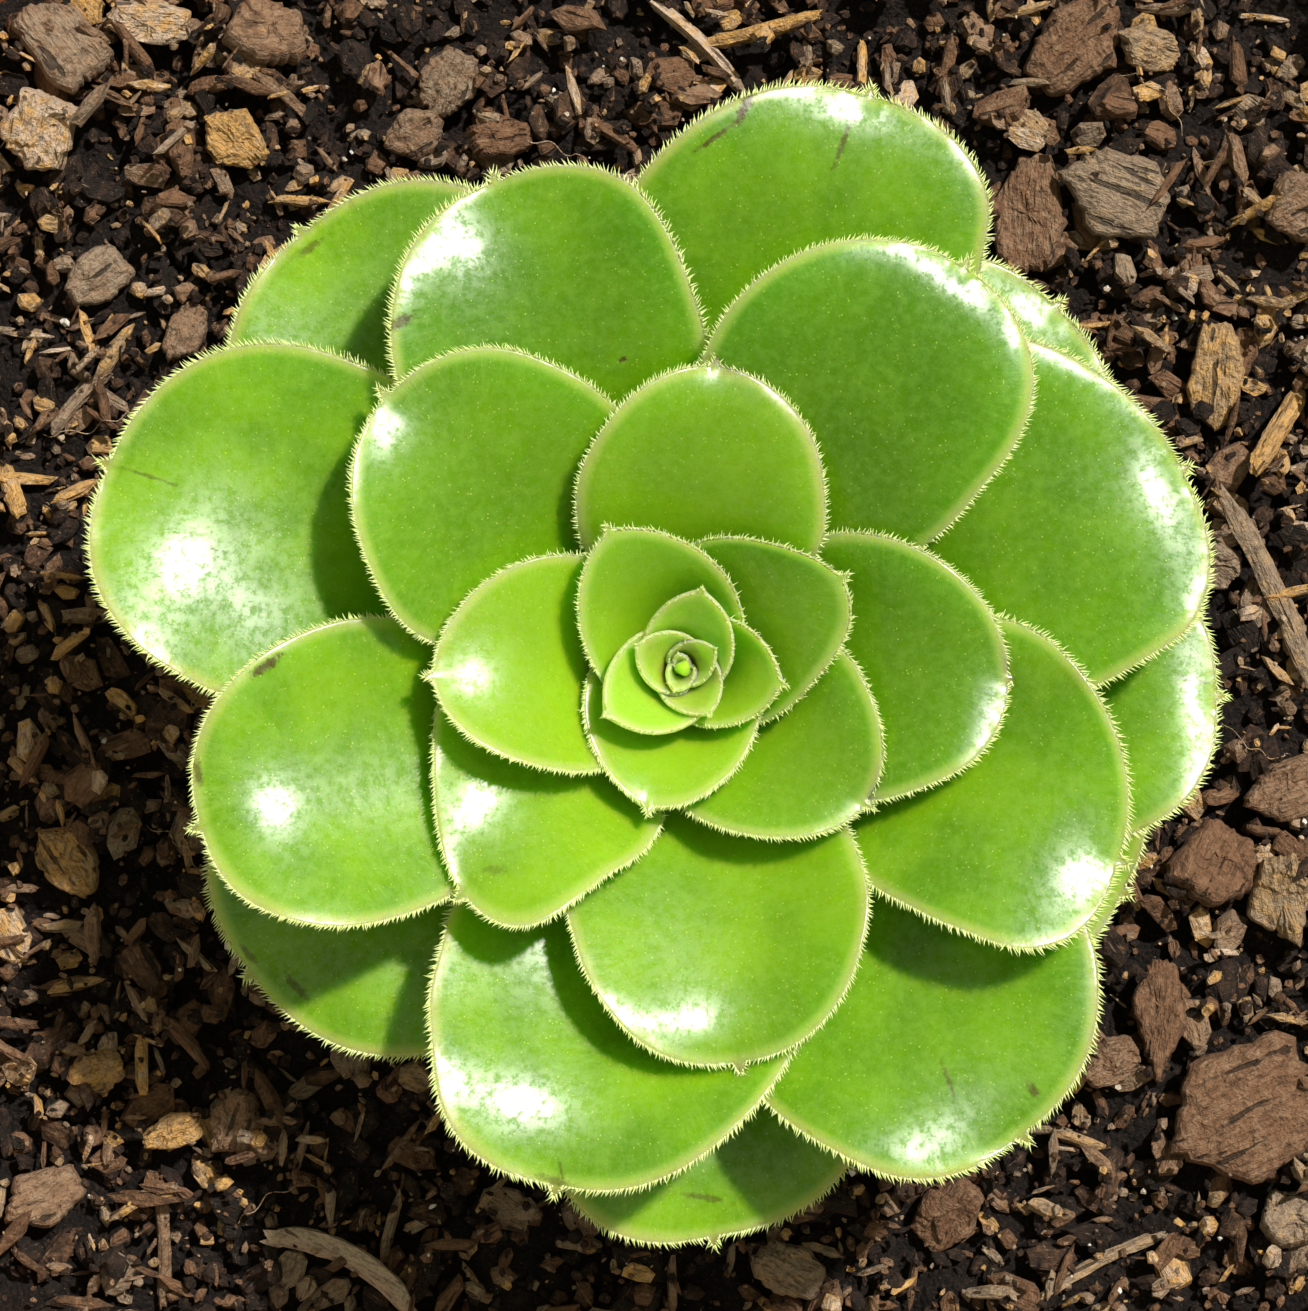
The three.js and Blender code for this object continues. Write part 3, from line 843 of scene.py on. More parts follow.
def grit_build(net):
    place = net.place()
    tone = net.attribute("tone", "Fac")
    cloud = net.noise(place, 2.0, 3.0)
    colour = net.ramp(
        tone,
        [
            (0.0, linear(232, 228, 216)),
            (0.45, linear(214, 206, 190)),
            (0.75, linear(196, 168, 134)),
            (1.0, linear(150, 140, 130)),
        ],
    )
    colour = net.mix(net.step(cloud, 0.45, 0.7) * 0.5, colour, linear(150, 132, 112))
    return {"Base Color": colour, "Roughness": 0.3 + (cloud - 0.5) * 0.4, "Height": (cloud - 0.5) * 0.12}


grit = finish_of(
    "grit",
    grit_build,
    Subsurface_Weight=0.3,
    Subsurface_Radius=(1.0, 0.9, 0.8),
    Subsurface_Scale=0.0006,
)


def stem_build(net):
    place = net.place()
    x, y, z = net.parts(place)
    scar = net.attribute("scar", "Fac")
    cork = net.noise(net.joined(x, y, z * 0.35), 0.9, 5.0, 0.65)
    ring = net.noise(net.joined(x * 0.2, y * 0.2, z * 2.2), 1.0, 3.0)
    colour = net.mix(net.step(cork, 0.35, 0.65), linear(104, 84, 58), linear(160, 140, 104))
    layers = [
        (ring, 0.55, 0.7, 0.4, (78, 60, 40)),
        (scar, 0.15, 0.6, 0.7, (190, 172, 132)),
        (z, 116.0, 124.0, 0.6, (128, 148, 62)),
    ]
    colour = net.layered(colour, layers)
    height = (cork - 0.5) * 0.5 + (ring - 0.5) * 0.3
    return {"Base Color": colour, "Roughness": 0.72 + (cork - 0.5) * 0.3, "Height": height}


stem_bark = finish_of("stem_bark", stem_build)


def clay_build(net):
    place = net.place()
    x, y, z = net.parts(place)
    body = net.noise(place, 0.045, 5.0, 0.6)
    speckle = net.noise(place, 1.1, 4.0, 0.7)
    throwing = net.noise(net.joined(x * 0.004, y * 0.004, z * 0.55), 1.0, 3.0, 0.6)
    bloom = net.noise(net.joined(x * 0.03, y * 0.03, z * 0.05), 1.0, 6.0, 0.68)
    run_off = net.noise(net.joined(x * 0.09, y * 0.09, z * 0.012), 1.0, 4.0, 0.6)
    pits = net.cells(place, 0.34)
    colour = net.mix(net.step(body, 0.3, 0.7), linear(172, 94, 58), linear(198, 118, 76))
    layers = [
        (throwing, 0.5, 0.7, 0.25, (150, 80, 50)),
        (speckle, 0.62, 0.74, 0.5, (222, 168, 130)),
        (speckle, 0.34, 0.26, 0.5, (118, 62, 40)),
    ]
    colour = net.layered(colour, layers)
    salts = net.step(bloom, 0.5, 0.68) * net.step(z, 104.0, 40.0) + net.step(bloom, 0.6, 0.74) * 0.6
    colour = net.mix(net.maths("MINIMUM", salts, 1.0) * 0.5, colour, linear(226, 208, 190))
    damp = net.step(z + (body - 0.5) * 40, 34.0, 6.0)
    colour = net.mix(damp * 0.4, colour, linear(112, 66, 44))
    colour = net.mix(net.step(run_off, 0.58, 0.74) * 0.25, colour, linear(120, 76, 54))
    moss = net.step(net.noise(place, 0.12, 5.0, 0.7), 0.6, 0.72) * net.step(z, 30.0, 8.0)
    colour = net.mix(moss * 0.35, colour, linear(96, 100, 60))
    height = (throwing - 0.5) * 0.5 + (speckle - 0.5) * 0.16 - net.step(pits, 0.2, 0.08) * 0.25
    rough = 0.84 + (body - 0.5) * 0.2 - damp * 0.12
    return {"Base Color": colour, "Roughness": rough, "Height": height}


terracotta = finish_of("terracotta", clay_build, IOR=1.42)


def floor_build(net):
    speckle = net.noise(net.place(), 0.02, 3.0)
    return {"Base Color": net.mix(speckle, linear(203, 203, 202), linear(210, 210, 209)), "Roughness": 0.7}


floor_finish = finish_of("floor_finish", floor_build)

# ---- Leaves ----

# Rows up the taper, rows round the end and columns across a leaf's mesh.
LEAF_GRID = (26, 32, 44)
BUD_GRID = (12, 18, 26)

rosette = [Leaf(order) for order in range(len(LEAVES))]

for leaf in rosette[BUD_LEAVES:]:
    node = f"leaf_{leaf.order + 1:02d}"
    points, faces, values = leaf_mesh(leaf, *LEAF_GRID)
    made = piece_of(f"{node}_blade", points, facing_out(points, faces), leaf_skin, values)
    belongs(made, "leaf", node)

TIP_RADIUS = 0.95
TIP_BOTTOM = APEX - 3.5
TIP_TOP = APEX + 1.2


def growing_tip():
    """The folded tip in the bud's middle, between its smallest leaves."""
    rows, sides = 12, 24
    share = np.linspace(0, 1, rows)[:, None]
    angle = np.linspace(0, 2 * math.pi, sides, endpoint=False)[None]
    folds = 1 + 0.14 * np.cos(3 * angle + 5 * share)
    radius = TIP_RADIUS * np.sqrt(1 - 0.98 * share**3) * folds
    height = lerp(TIP_BOTTOM, TIP_TOP, share) + 0 * angle
    points = np.stack([radius * np.cos(angle), radius * np.sin(angle), height], -1).reshape(-1, 3)
    faces = tube_faces(rows, sides)
    faces += end_faces(len(points), sides)
    values = {
        "margin": np.full(len(points), 2.0),
        "state": np.tile((0.0, 0.8, PLAIN_PAINTED_SHADE), (len(points), 1)),
        "fan": points * (1, 1, 0) + (0, 0, 3),
    }
    values.update(mark_values(0, points))
    return points, facing_out(points, faces), values


bud_parts = []
for leaf in rosette[:BUD_LEAVES]:
    points, faces, values = leaf_mesh(leaf, *BUD_GRID)
    bud_parts.append((points, facing_out(points, faces), values))
bud_parts.append(growing_tip())
points, faces, values = gathered(bud_parts)
belongs(piece_of("bud_leaves", points, faces, young_skin, values), "young_leaf", "bud")

# ---- Hairs on the leaves' margins ----


HAIRY_SHARE = (0.16, 0.999)  # the stretch of a leaf that has hairs, from foot to tip
MARGIN_SAMPLES = 900
HAIR_SUNK = 0.16  # how far a root lies inside the margin
HAIR_BEND = 0.22  # how far a tip bends aside


def margin_hairs(leaf, spacing, random):
    """Roots, directions and lengths of the hairs along both margins of a leaf."""
    share = np.linspace(*HAIRY_SHARE, MARGIN_SAMPLES)[:, None]
    roots, directions, lengths = [], [], []
    for sign in (1, -1):
        q = np.full((1, 1), float(sign))
        place, normal, rise = leaf.surface(share, q)[:3]
        middle = rise + 0.5 * leaf.thickness(share) - 0.5 * MARGIN_THICKNESS
        middle = middle + leaf.relief(share, q, np.zeros_like(rise))
        edge = (place + normal * middle[..., None])[:, 0]
        up = normal[:, 0]
        forward = np.gradient(edge, axis=0)
        walked = np.concatenate([[0], np.cumsum(np.linalg.norm(np.diff(edge, axis=0), axis=1))])
        forward /= np.linalg.norm(forward, axis=1)[:, None]
        outward = np.cross(forward, up) * sign * -1
        outward /= np.linalg.norm(outward, axis=1)[:, None]
        inside = leaf.surface(share, q * 0.9)[0][:, 0]
        wrong = np.sum(outward * (edge - inside), 1) < 0
        outward[wrong] *= -1
        count = int(walked[-1] / spacing)
        stations = (np.arange(count) + random.uniform(0.15, 0.85, count)) * spacing
        pick = lambda column: np.stack([np.interp(stations, walked, column[:, k]) for k in range(3)], -1)
        root, out, ahead, lift = pick(edge), pick(outward), pick(forward), pick(up)
        spread = random.normal(0, 1, (count, 2))
        lean_ahead = 0.65 + 0.25 * spread[:, :1]
        lean_up = 0.15 + 0.3 * spread[:, 1:]
        roots.append(root - out * HAIR_SUNK + lift * 0.35 * MARGIN_THICKNESS)
        directions.append(out + ahead * lean_ahead + lift * lean_up)
        grown = smooth(np.interp(stations, walked, share[:, 0]), 0.1, 0.45)
        lengths.append(random.uniform(0.65, 1.15, count) * lerp(0.5, 1, grown))
    return np.concatenate(roots), np.concatenate(directions), np.concatenate(lengths)


def input_of(tree, name):
    """The identifier of a tree's named input."""
    return next(item.identifier for item in tree.interface.items_tree if item.name == name)


def grown_from(carrier, tree, settings):
    """Gives a carrier of points the plain mesh that the tree makes on it."""
    modifier = carrier.modifiers.new("Growth", "NODES")
    modifier.node_group = tree
    for name, setting in settings.items():
        modifier[input_of(tree, name)] = setting
    bpy.context.view_layer.update()
    shown = carrier.evaluated_get(bpy.context.evaluated_depsgraph_get())
    result = bpy.data.meshes.new_from_object(shown)
    carrier.modifiers.remove(modifier)
    old = carrier.data
    carrier.data = result
    bpy.data.meshes.remove(old)
    result.name = carrier.name


def named(net, name, kind="FLOAT_VECTOR"):
    return net.node("GeometryNodeInputNamedAttribute", {"data_type": kind}, {"Name": name})


def new_tree(name, inputs):
    """An empty geometry tree with a geometry input and output and the named inputs."""
    tree = bpy.data.node_groups.new(name, "GeometryNodeTree")
    tree.interface.new_socket("Geometry", in_out="INPUT", socket_type="NodeSocketGeometry")
    tree.interface.new_socket("Geometry", in_out="OUTPUT", socket_type="NodeSocketGeometry")
    for label, kind in inputs:
        tree.interface.new_socket(label, in_out="INPUT", socket_type=f"NodeSocket{kind}")
    net = Net(tree)
    source = tree.nodes.new("NodeGroupInput")
    given = {socket.name: Value(net, socket) for socket in source.outputs if socket.name}
    target = tree.nodes.new("NodeGroupOutput")
    return tree, net, given, target


def hair_tree():
    """Grows one tapered, slightly bent hair on each point, along its direction and to its length."""
    inputs = [("Root radius", "Float"), ("Bend", "Float"), ("Seed", "Int"), ("Finish", "Material")]
    tree, net, given, target = new_tree("grow_hairs", inputs)
    hair = net.node(
        "GeometryNodeMeshCone",
        {"fill_type": "TRIANGLE_FAN"},
        {
            "Vertices": 3,
            "Side Segments": 3,
            "Radius Bottom": given["Root radius"],
            "Radius Top": 0.0,
            "Depth": 1.0,
        },
    )
    z = net.parts(net.node("GeometryNodeInputPosition"))[2]
    bent = net.joined(given["Bend"] * z * z, 0.0, 0.0)
    hair = net.node("GeometryNodeSetPosition", {}, {"Geometry": hair, "Offset": bent})
    turn = net.node("FunctionNodeAlignRotationToVector", {"axis": "Z"}, {"Vector": named(net, "direction")})
    spin = net.node(
        "FunctionNodeRandomValue",
        {"data_type": "FLOAT"},
        {"Min": 0.0, "Max": 2 * math.pi, "Seed": given["Seed"]},
        output=1,
    )
    turn = net.node(
        "FunctionNodeRotateRotation",
        {"rotation_space": "LOCAL"},
        {"Rotation": turn, "Rotate By": net.joined(0.0, 0.0, spin)},
    )
    size = net.joined(1.0, 1.0, named(net, "length", "FLOAT") * METRES)
    placed = net.node(
        "GeometryNodeInstanceOnPoints",
        {},
        {"Points": given["Geometry"], "Instance": hair, "Rotation": turn, "Scale": size},
    )
    real = net.node("GeometryNodeRealizeInstances", {}, {"Geometry": placed})
    real = net.node("GeometryNodeSetShadeSmooth", {}, {"Geometry": real})
    done = net.node("GeometryNodeSetMaterial", {}, {"Geometry": real, "Material": given["Finish"]})
    net.feed(target.inputs[0], done)
    return tree


hairs = hair_tree()
# Each set of hairs: its leaves, their spacing, the usual length and the radius at the root.
HAIR_SETS = [
    ("hairs_outer", range(20, len(LEAVES)), 0.3, 1.1, 0.17),
    ("hairs_inner", range(BUD_LEAVES, 20), 0.24, 0.9, 0.15),
    ("hairs_bud", range(BUD_LEAVES), 0.19, 0.58, 0.12),
]
for name, orders, spacing, usual, root_radius in HAIR_SETS:
    random = np.random.default_rng(len(name) + len(orders))
    sets = [margin_hairs(rosette[order], spacing, random) for order in orders]
    roots, directions, lengths = (np.concatenate(column) for column in zip(*sets))
    carrier = piece_of(name, roots, [], None, {"direction": directions, "length": lengths * usual})
    settings = {
        "Root radius": root_radius * METRES,
        "Bend": HAIR_BEND * METRES,
        "Seed": 3,
        "Finish": leaf_hair,
    }
    grown_from(carrier, hairs, settings)
    belongs(carrier, "young_leaf" if name == "hairs_bud" else "leaf")

# ---- Stem ----


def scar_relief(angle, height):
    """How far the stem swells at the scars of fallen leaves."""
    lowest = len(LEAVES) - 1
    relief = np.zeros(np.broadcast(angle, height).shape)
    for scar in range(len(LEAVES), len(LEAVES) + SCAR_COUNT):
        at = math.radians(LEAVES[lowest][0] + GOLDEN_ANGLE * (scar - lowest))
        side = np.arctan2(np.sin(angle - at), np.cos(angle - at)) * STEM_RADIUS
        up = height - (APEX - LEAF_PITCH * scar)
        relief = np.maximum(relief, 1 - (side / SCAR_HALF_WIDTH) ** 2 - (up / SCAR_HALF_HEIGHT) ** 2)
    return relief


BARE_TOP = 119  # where the stem goes in among the leaves
CORK_RELIEF = (0.12, 0.06)  # coarse and fine
SCAR_RIM = 0.12  # how far the rim of a scar stands out


def stem_mesh():
    sides = 72
    angle = np.linspace(0, 2 * math.pi, sides, endpoint=False)[None]
    top = APEX - LEAF_PITCH * (BUD_LEAVES - 0.5)
    bottom = SOIL_LEVEL - STEM_SUNK
    height = np.concatenate([[bottom, bottom + 1.8], np.linspace(bottom + 6, SOIL_LEVEL - 3, 8)])
    height = np.concatenate([height, np.arange(SOIL_LEVEL - 2, top, 0.3), [top, top]])[:, None]
    radius = np.array([stem_radius(h) for h in height[:, 0]])[:, None]
    radius[0] *= 0.7
    radius[-1] *= 0.5
    bare = smooth(height, SOIL_LEVEL - 1, SOIL_LEVEL + 1) * smooth(height, BARE_TOP, BARE_TOP - 3)
    scar = scar_relief(angle, height) * bare
    cork = waves(angle * 6 + 40, height, 1.5, 8) * CORK_RELIEF[0]
    cork = cork + waves(angle * 6 + 10, height, 0.7, 9) * CORK_RELIEF[1]
    rim = np.exp(-((scar - 0.1) / 0.12) ** 2) * SCAR_RIM
    radius = radius + (SCAR_DEPTH * scar + rim + cork) * bare
    x, y = radius * np.cos(angle), radius * np.sin(angle)
    points = np.stack([x, y, height + 0 * x], -1).reshape(-1, 3)
    faces = tube_faces(len(height), sides)
    faces.append(tuple(range(sides)))
    faces.append(tuple((len(height) - 1) * sides + j for j in range(sides)))
    faces[-2] = tuple(reversed(faces[-2]))
    return points, faces, {"scar": scar.ravel()}


points, faces, values = stem_mesh()
belongs(piece_of("stem_wood", points, facing_out(points, faces), stem_bark, values), "bark", "stem")

# ---- Potting mix: the fine bed ----


def pot_inside(height):
    return lerp(BASE_RADIUS - WALL, RIM_RADIUS - RIM_THICKNESS, (height - FLOOR) / (POT_HEIGHT - FLOOR))


def soil_height(x, y):
    """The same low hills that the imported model's mix has."""
    wave = 0.5 * np.sin(0.11 * x + 1.3) * np.cos(0.13 * y)
    wave = wave + 0.35 * np.sin(0.31 * x - 0.23 * y) + 0.25 * np.cos(0.47 * y + 0.29 * x)
    return SOIL_RELIEF * wave


BED_DEPTH = 1.5  # how far the fine bed lies below the mean surface, which the pieces fill
BANK = 2.6  # how much higher the mix lies against the pot's wall
BANK_WIDTH = 12
BED_SIDES = 560
BED_RINGS = 118
SKIRT = SOIL_LEVEL - 6  # a level below the bed's relief, from which its sides run straight down
WALL_ROOM = 1.2 * GAP  # between the bed and the pot


def bed_height(x, y):
    fine = 0.6 * waves(x, y, 2.3, 11) + 0.4 * waves(x, y, 1.3, 12) + 0.8 * waves(x, y, 5.2, 13)
    banked = BANK * smooth(np.hypot(x, y), pot_inside(SOIL_LEVEL) - BANK_WIDTH, pot_inside(SOIL_LEVEL))
    return SOIL_LEVEL - BED_DEPTH + soil_height(x, y) + fine + banked


def bed_mesh():
    angle = np.linspace(0, 2 * math.pi, BED_SIDES, endpoint=False)[None]
    inner = STEM_RADIUS + 2.5 * GAP
    outer = pot_inside(SOIL_LEVEL) - WALL_ROOM
    radius = np.linspace(outer, inner, BED_RINGS)[:, None]
    x, y = radius * np.cos(angle), radius * np.sin(angle)
    top = np.stack([x, y, bed_height(x, y)], -1)
    to_wall = (pot_inside(top[0, :, 2]) - WALL_ROOM) / outer
    top[0, :, 0] *= to_wall
    top[0, :, 1] *= to_wall
    ring = lambda r, z: np.stack([r * np.cos(angle), r * np.sin(angle), z + 0 * angle], -1)
    low = FLOOR + GAP
    hole = SOIL_LEVEL - STEM_SUNK - GAP
    under = ring(pot_inside(low) - WALL_ROOM, low)
    wall = ring(pot_inside(SKIRT) - WALL_ROOM, SKIRT)
    rows = [under, wall, top, ring(inner, SKIRT), ring(STEM_RADIUS + 2 * GAP, hole)]
    points = np.concatenate(rows).reshape(-1, 3)
    faces = tube_faces(len(rows) + BED_RINGS - 1, BED_SIDES)
    faces.append(tuple(range(BED_SIDES)))
    faces.append(tuple(reversed(range(len(points) - BED_SIDES, len(points)))))
    return points, faces


points, faces = bed_mesh()
bed = piece_of("potting_mix_bed", points, facing_out(points, faces), fine_mix)
belongs(bed, "potting_mix", "potting_mix")

# ---- Potting mix: bark, crumbs, wood and grit ----

CELL = 0.5
HALF_SPAN = 109.0


class Pile:
    """Heights of the mix on a square grid, as pieces are laid on it one by one."""

    def __init__(self):
        steps = np.arange(-HALF_SPAN, HALF_SPAN + CELL, CELL)
        self.x, self.y = np.meshgrid(steps, steps, indexing="ij")
        self.height = bed_height(self.x, self.y)
        self.kept_bare = np.zeros(self.height.shape, bool)

    def index(self, value):
        return int(round((value + HALF_SPAN) / CELL))

    def is_bare(self, x, y):
        return self.kept_bare[self.index(x), self.index(y)]

    def lay(self, x, y, size, yaw, tilt, sunk=0.25, bare=False):
        """Rests a slab of that length, width and thickness. Gives its middle's height and its turn."""
        reach = 0.5 * max(size[0], size[1])
        last = len(self.height)
        i0, i1 = max(self.index(x - reach), 0), min(self.index(x + reach) + 1, last)
        j0, j1 = max(self.index(y - reach), 0), min(self.index(y + reach) + 1, last)
        dx, dy = self.x[i0:i1, j0:j1] - x, self.y[i0:i1, j0:j1] - y
        u = dx * math.cos(yaw) + dy * math.sin(yaw)
        v = dy * math.cos(yaw) - dx * math.sin(yaw)
        under = (np.abs(u) / (0.5 * size[0])) ** 2.5 + (np.abs(v) / (0.5 * size[1])) ** 2.5 < 1
        here = self.height[i0:i1, j0:j1]
        if not under.any():
            under = np.hypot(dx, dy) <= np.hypot(dx, dy).min()
        level, rx, ry = here[under], dx[under], dy[under]
        mean = level.mean()
        slope_x = float(np.clip(((level - mean) * rx).sum() / ((rx**2).sum() + 1), -0.4, 0.4)) + tilt[0]
        slope_y = float(np.clip(((level - mean) * ry).sum() / ((ry**2).sum() + 1), -0.4, 0.4)) + tilt[1]
        plane = slope_x * dx + slope_y * dy
        rest = np.quantile(level - plane[under], 0.8) + (0.5 - sunk) * size[2]
        top = rest + 0.5 * size[2] + plane
        here[under] = np.maximum(here[under], top[under] - 0.15 * size[2])
        self.kept_bare[i0:i1, j0:j1] |= under & bare
        normal = np.array([-slope_x, -slope_y, 1.0])
        normal /= np.linalg.norm(normal)
        ahead = np.array([math.cos(yaw), math.sin(yaw), 0.0])
        ahead -= normal * ahead.dot(normal)
        ahead /= np.linalg.norm(ahead)
        beside = np.cross(normal, ahead)
        turn = Matrix(np.stack([ahead, beside, normal], 1).tolist()).to_euler()
        return rest, tuple(turn)


pile = Pile()
chance = np.random.default_rng(41)


CLEAR_OF_STEM = 9.0


def spread(count, edge_room):
    """Points spread evenly over the mix, between the stem and the pot's wall."""
    radius = np.sqrt(chance.uniform(CLEAR_OF_STEM**2, (pot_inside(SOIL_LEVEL) - edge_room) ** 2, count))
    angle = chance.uniform(0, 2 * math.pi, count)
    return radius * np.cos(angle), radius * np.sin(angle)


SWEPT = 0.93  # share of the small pieces that don't stay on top of a large one


def laid(count, lengths, slimness, flatness, shapes, tone_range, steep=0.16, darkness=1.5):
    """Lays pieces at random, fewer of them pale the greater the darkness. Gives a row for each piece."""
    xs, ys = spread(count, 0.5 * lengths[1] + 0.6)
    rows = []
    for x, y in zip(xs, ys):
        length = lerp(lengths[0], lengths[1], chance.random() ** 1.8)
        width = length * chance.uniform(*slimness)
        thick = width * chance.uniform(*flatness)
        yaw = chance.uniform(0, 2 * math.pi)
        if pile.is_bare(x, y) and chance.random() < SWEPT:
            continue
        rest, turn = pile.lay(x, y, (length, width, thick), yaw, chance.normal(0, steep, 2))
        tone = lerp(tone_range[0], tone_range[1], chance.random() ** darkness)
        rows.append((x, y, rest, *turn, length, width, thick, tone, chance.integers(shapes)))
    return np.array(rows)


def sorted_corners(random, count):
    """Angles round a piece, unevenly spaced."""
    steps = random.uniform(0.6, 1.5, count)
    return np.cumsum(steps) / steps.sum() * 2 * math.pi


def slab_shape(random, corners, levels, broken):
    """A broken slab of unit length, width and thickness: an angular outline at several levels."""
    angle = sorted_corners(random, corners)
    outline = 0.5 * random.uniform(1 - broken, 1, corners)
    rows = []
    for level, share in levels:
        ring = outline * share * random.uniform(0.9, 1.06, corners)
        drift = random.normal(0, 0.03, 2)
        z = level + random.normal(0, 0.05, corners)
        rows.append(np.stack([ring * np.cos(angle) + drift[0], ring * np.sin(angle) + drift[1], z], -1))
    lowest = rows[0].mean(0) + (0, 0, random.normal(-0.04, 0.05))
    highest = rows[-1].mean(0) + (0, 0, random.normal(0.05, 0.07))
    points, faces = closed_rows(rows, lowest, highest)
    return points, facing_out(points, faces)


def shape_family(name, count, make, seed):
    """A collection of unlike shapes, kept out of the scene, for a tree to lay."""
    family = bpy.data.collections.new(name)
    random = np.random.default_rng(seed)
    for number in range(count):
        points, faces = make(random)
        mesh = bpy.data.meshes.new(f"{name}_{number:02d}")
        mesh.from_pydata(points.tolist(), [], faces)
        grain = mesh.attributes.new("grain", "FLOAT_VECTOR", "POINT")
        grain.data.foreach_set("vector", points.astype(np.float32).ravel())
        family.objects.link(bpy.data.objects.new(mesh.name, mesh))
    return family


def laying_tree():
    """Lays a shape of a family on each point, turned and sized, then roughens it."""
    inputs = [("Family", "Collection"), ("Roughening", "Float"), ("Fineness", "Float"), ("Seed", "Float")]
    tree, net, given, target = new_tree("lay_pieces", inputs + [("Finish", "Material")])
    shapes = net.node(
        "GeometryNodeCollectionInfo",
        {},
        {"Collection": given["Family"], "Separate Children": True, "Reset Children": True},
    )
    size = named(net, "size")
    placed = net.node(
        "GeometryNodeInstanceOnPoints",
        {},
        {
            "Points": given["Geometry"],
            "Instance": shapes,
            "Pick Instance": True,
            "Instance Index": named(net, "shape", "INT"),
            "Rotation": named(net, "turn"),
            "Scale": net.scaled(size, METRES),
        },
    )
    real = net.node("GeometryNodeRealizeInstances", {}, {"Geometry": placed})
    where = net.node("GeometryNodeInputPosition")
    rough = net.node(
        "ShaderNodeTexNoise",
        {"noise_dimensions": "4D"},
        {"Vector": where, "W": given["Seed"], "Scale": given["Fineness"], "Detail": 1.0},
        output="Color",
    )
    offset = net.scaled(net.vector_maths("SUBTRACT", rough, (0.5, 0.5, 0.5)), given["Roughening"])
    real = net.node("GeometryNodeSetPosition", {}, {"Geometry": real, "Offset": offset})
    done = net.node("GeometryNodeSetMaterial", {}, {"Geometry": real, "Material": given["Finish"]})
    net.feed(target.inputs[0], done)
    return tree


lay_pieces = laying_tree()


FINENESS = 620.0  # of the noise that roughens the loose pieces, to a metre


def scatter(name, rows, family, finish, roughening):
    """One piece of the model from many laid ones."""
    values = {"turn": rows[:, 3:6], "size": rows[:, 6:9], "tone": rows[:, 9]}
    carrier = piece_of(name, rows[:, :3], [], None, values)
    shape = carrier.data.attributes.new("shape", "INT", "POINT")
    shape.data.foreach_set("value", rows[:, 10].astype(int))
    settings = {
        "Family": family,
        "Roughening": roughening * METRES,
        "Fineness": FINENESS,
        "Seed": 2.0,
        "Finish": finish,
    }
    grown_from(carrier, lay_pieces, settings)
    belongs(carrier, "potting_mix")


SLAB_LEVELS = [(-0.5, 0.8), (-0.3, 1.0), (0.36, 0.98), (0.5, 0.84)]
NUGGET_LEVELS = [(-0.45, 0.8), (-0.1, 1.0), (0.25, 0.96), (0.5, 0.72)]
CRUMB_LEVELS = [(-0.3, 0.8), (0.3, 0.9)]

bark_family = shape_family("bark_shape", 14, lambda r: slab_shape(r, 7, SLAB_LEVELS, 0.36), 61)
nugget_family = shape_family("nugget_shape", 14, lambda r: slab_shape(r, 6, NUGGET_LEVELS, 0.4), 62)
crumb_family = shape_family("crumb_shape", 10, lambda r: slab_shape(r, 5, CRUMB_LEVELS, 0.45), 63)

# The largest pieces of bark: middle, length, width and thickness, the way they point in degrees, and tone.
PLATES = [
    (63.2, -50.1, 18, 15, 3.2, 24, 0.4),
    (49.0, 53.4, 12, 9.5, 3.4, -20, 0.64),
    (39.4, 51.1, 15, 8, 3.0, 92, 0.44),
    (60.6, 33.0, 13, 6.6, 2.2, 84, 0.78),
    (60.0, -22.0, 11, 9, 3.6, 60, 0.34),
    (68.3, -13.9, 9.5, 7, 3.0, 20, 0.46),
    (67.7, -25.6, 11, 7, 3.4, 100, 0.72),
    (-47.0, 72.0, 9.5, 8.5, 4.0, 10, 0.46),
    (-60.0, 73.0, 10, 5.5, 3.6, -6, 0.98),
    (44.5, 70.3, 13.5, 9, 3.2, 42, 0.42),
    (-20.5, 59.6, 8.5, 5, 3.0, 12, 0.34),
    (-71.9, 60.7, 9.5, 8, 4.6, 70, 0.97),
    (-50.4, 59.6, 7.5, 5.5, 2.6, -50, 0.86),
    (-69.3, -21.8, 9.5, 6.5, 4.0, -58, 0.82),
    (-65.7, -45.5, 6, 5, 3.4, 10, 0.8),
    (-57.2, -52.3, 7.5, 3.8, 2.6, 22, 0.84),
    (-49.8, -51.2, 7.5, 6, 3.2, 70, 0.5),
    (68.8, -62.5, 7.5, 6.8, 4.4, 0, 0.64),
    (53.0, 69.8, 8.5, 5.2, 2.8, -24, 0.72),
    (54.1, -38.7, 13, 5.2, 2.6, 86, 0.36),
    (48.5, -44.4, 7.5, 5.4, 2.8, 30, 0.46),
    (-66.0, 44.0, 9, 6, 2.8, 40, 0.6),
    (-56.0, 38.0, 8, 4.6, 2.6, 60, 0.52),
    (-72.0, -60.0, 10, 7, 3.4, 30, 0.5),
    (-26.0, 66.0, 9, 6.4, 3.4, 64, 0.56),
    (70.0, 52.0, 9, 7, 3.2, 30, 0.5),
    (12.0, -68.0, 9, 6.2, 3.2, -30, 0.66),
    (30.0, -62.0, 10, 7, 3.0, 50, 0.4),
    (-30.0, 60.5, 7, 6, 3.4, 30, 0.5),
    (60.0, 12.0, 8, 6, 3.0, -40, 0.6),
    (90.0, 30.0, 15, 10, 3.6, 70, 0.5),
    (-88.0, -20.0, 14, 9, 3.4, 20, 0.62),
    (10.0, 92.0, 14, 10, 3.4, -30, 0.4),
    (-16.0, -90.0, 15, 9, 3.6, 64, 0.7),
    (84.0, -50.0, 12, 9, 3.4, 10, 0.44),
    (-70.0, 70.0, 12, 8, 3.4, -50, 0.56),
]
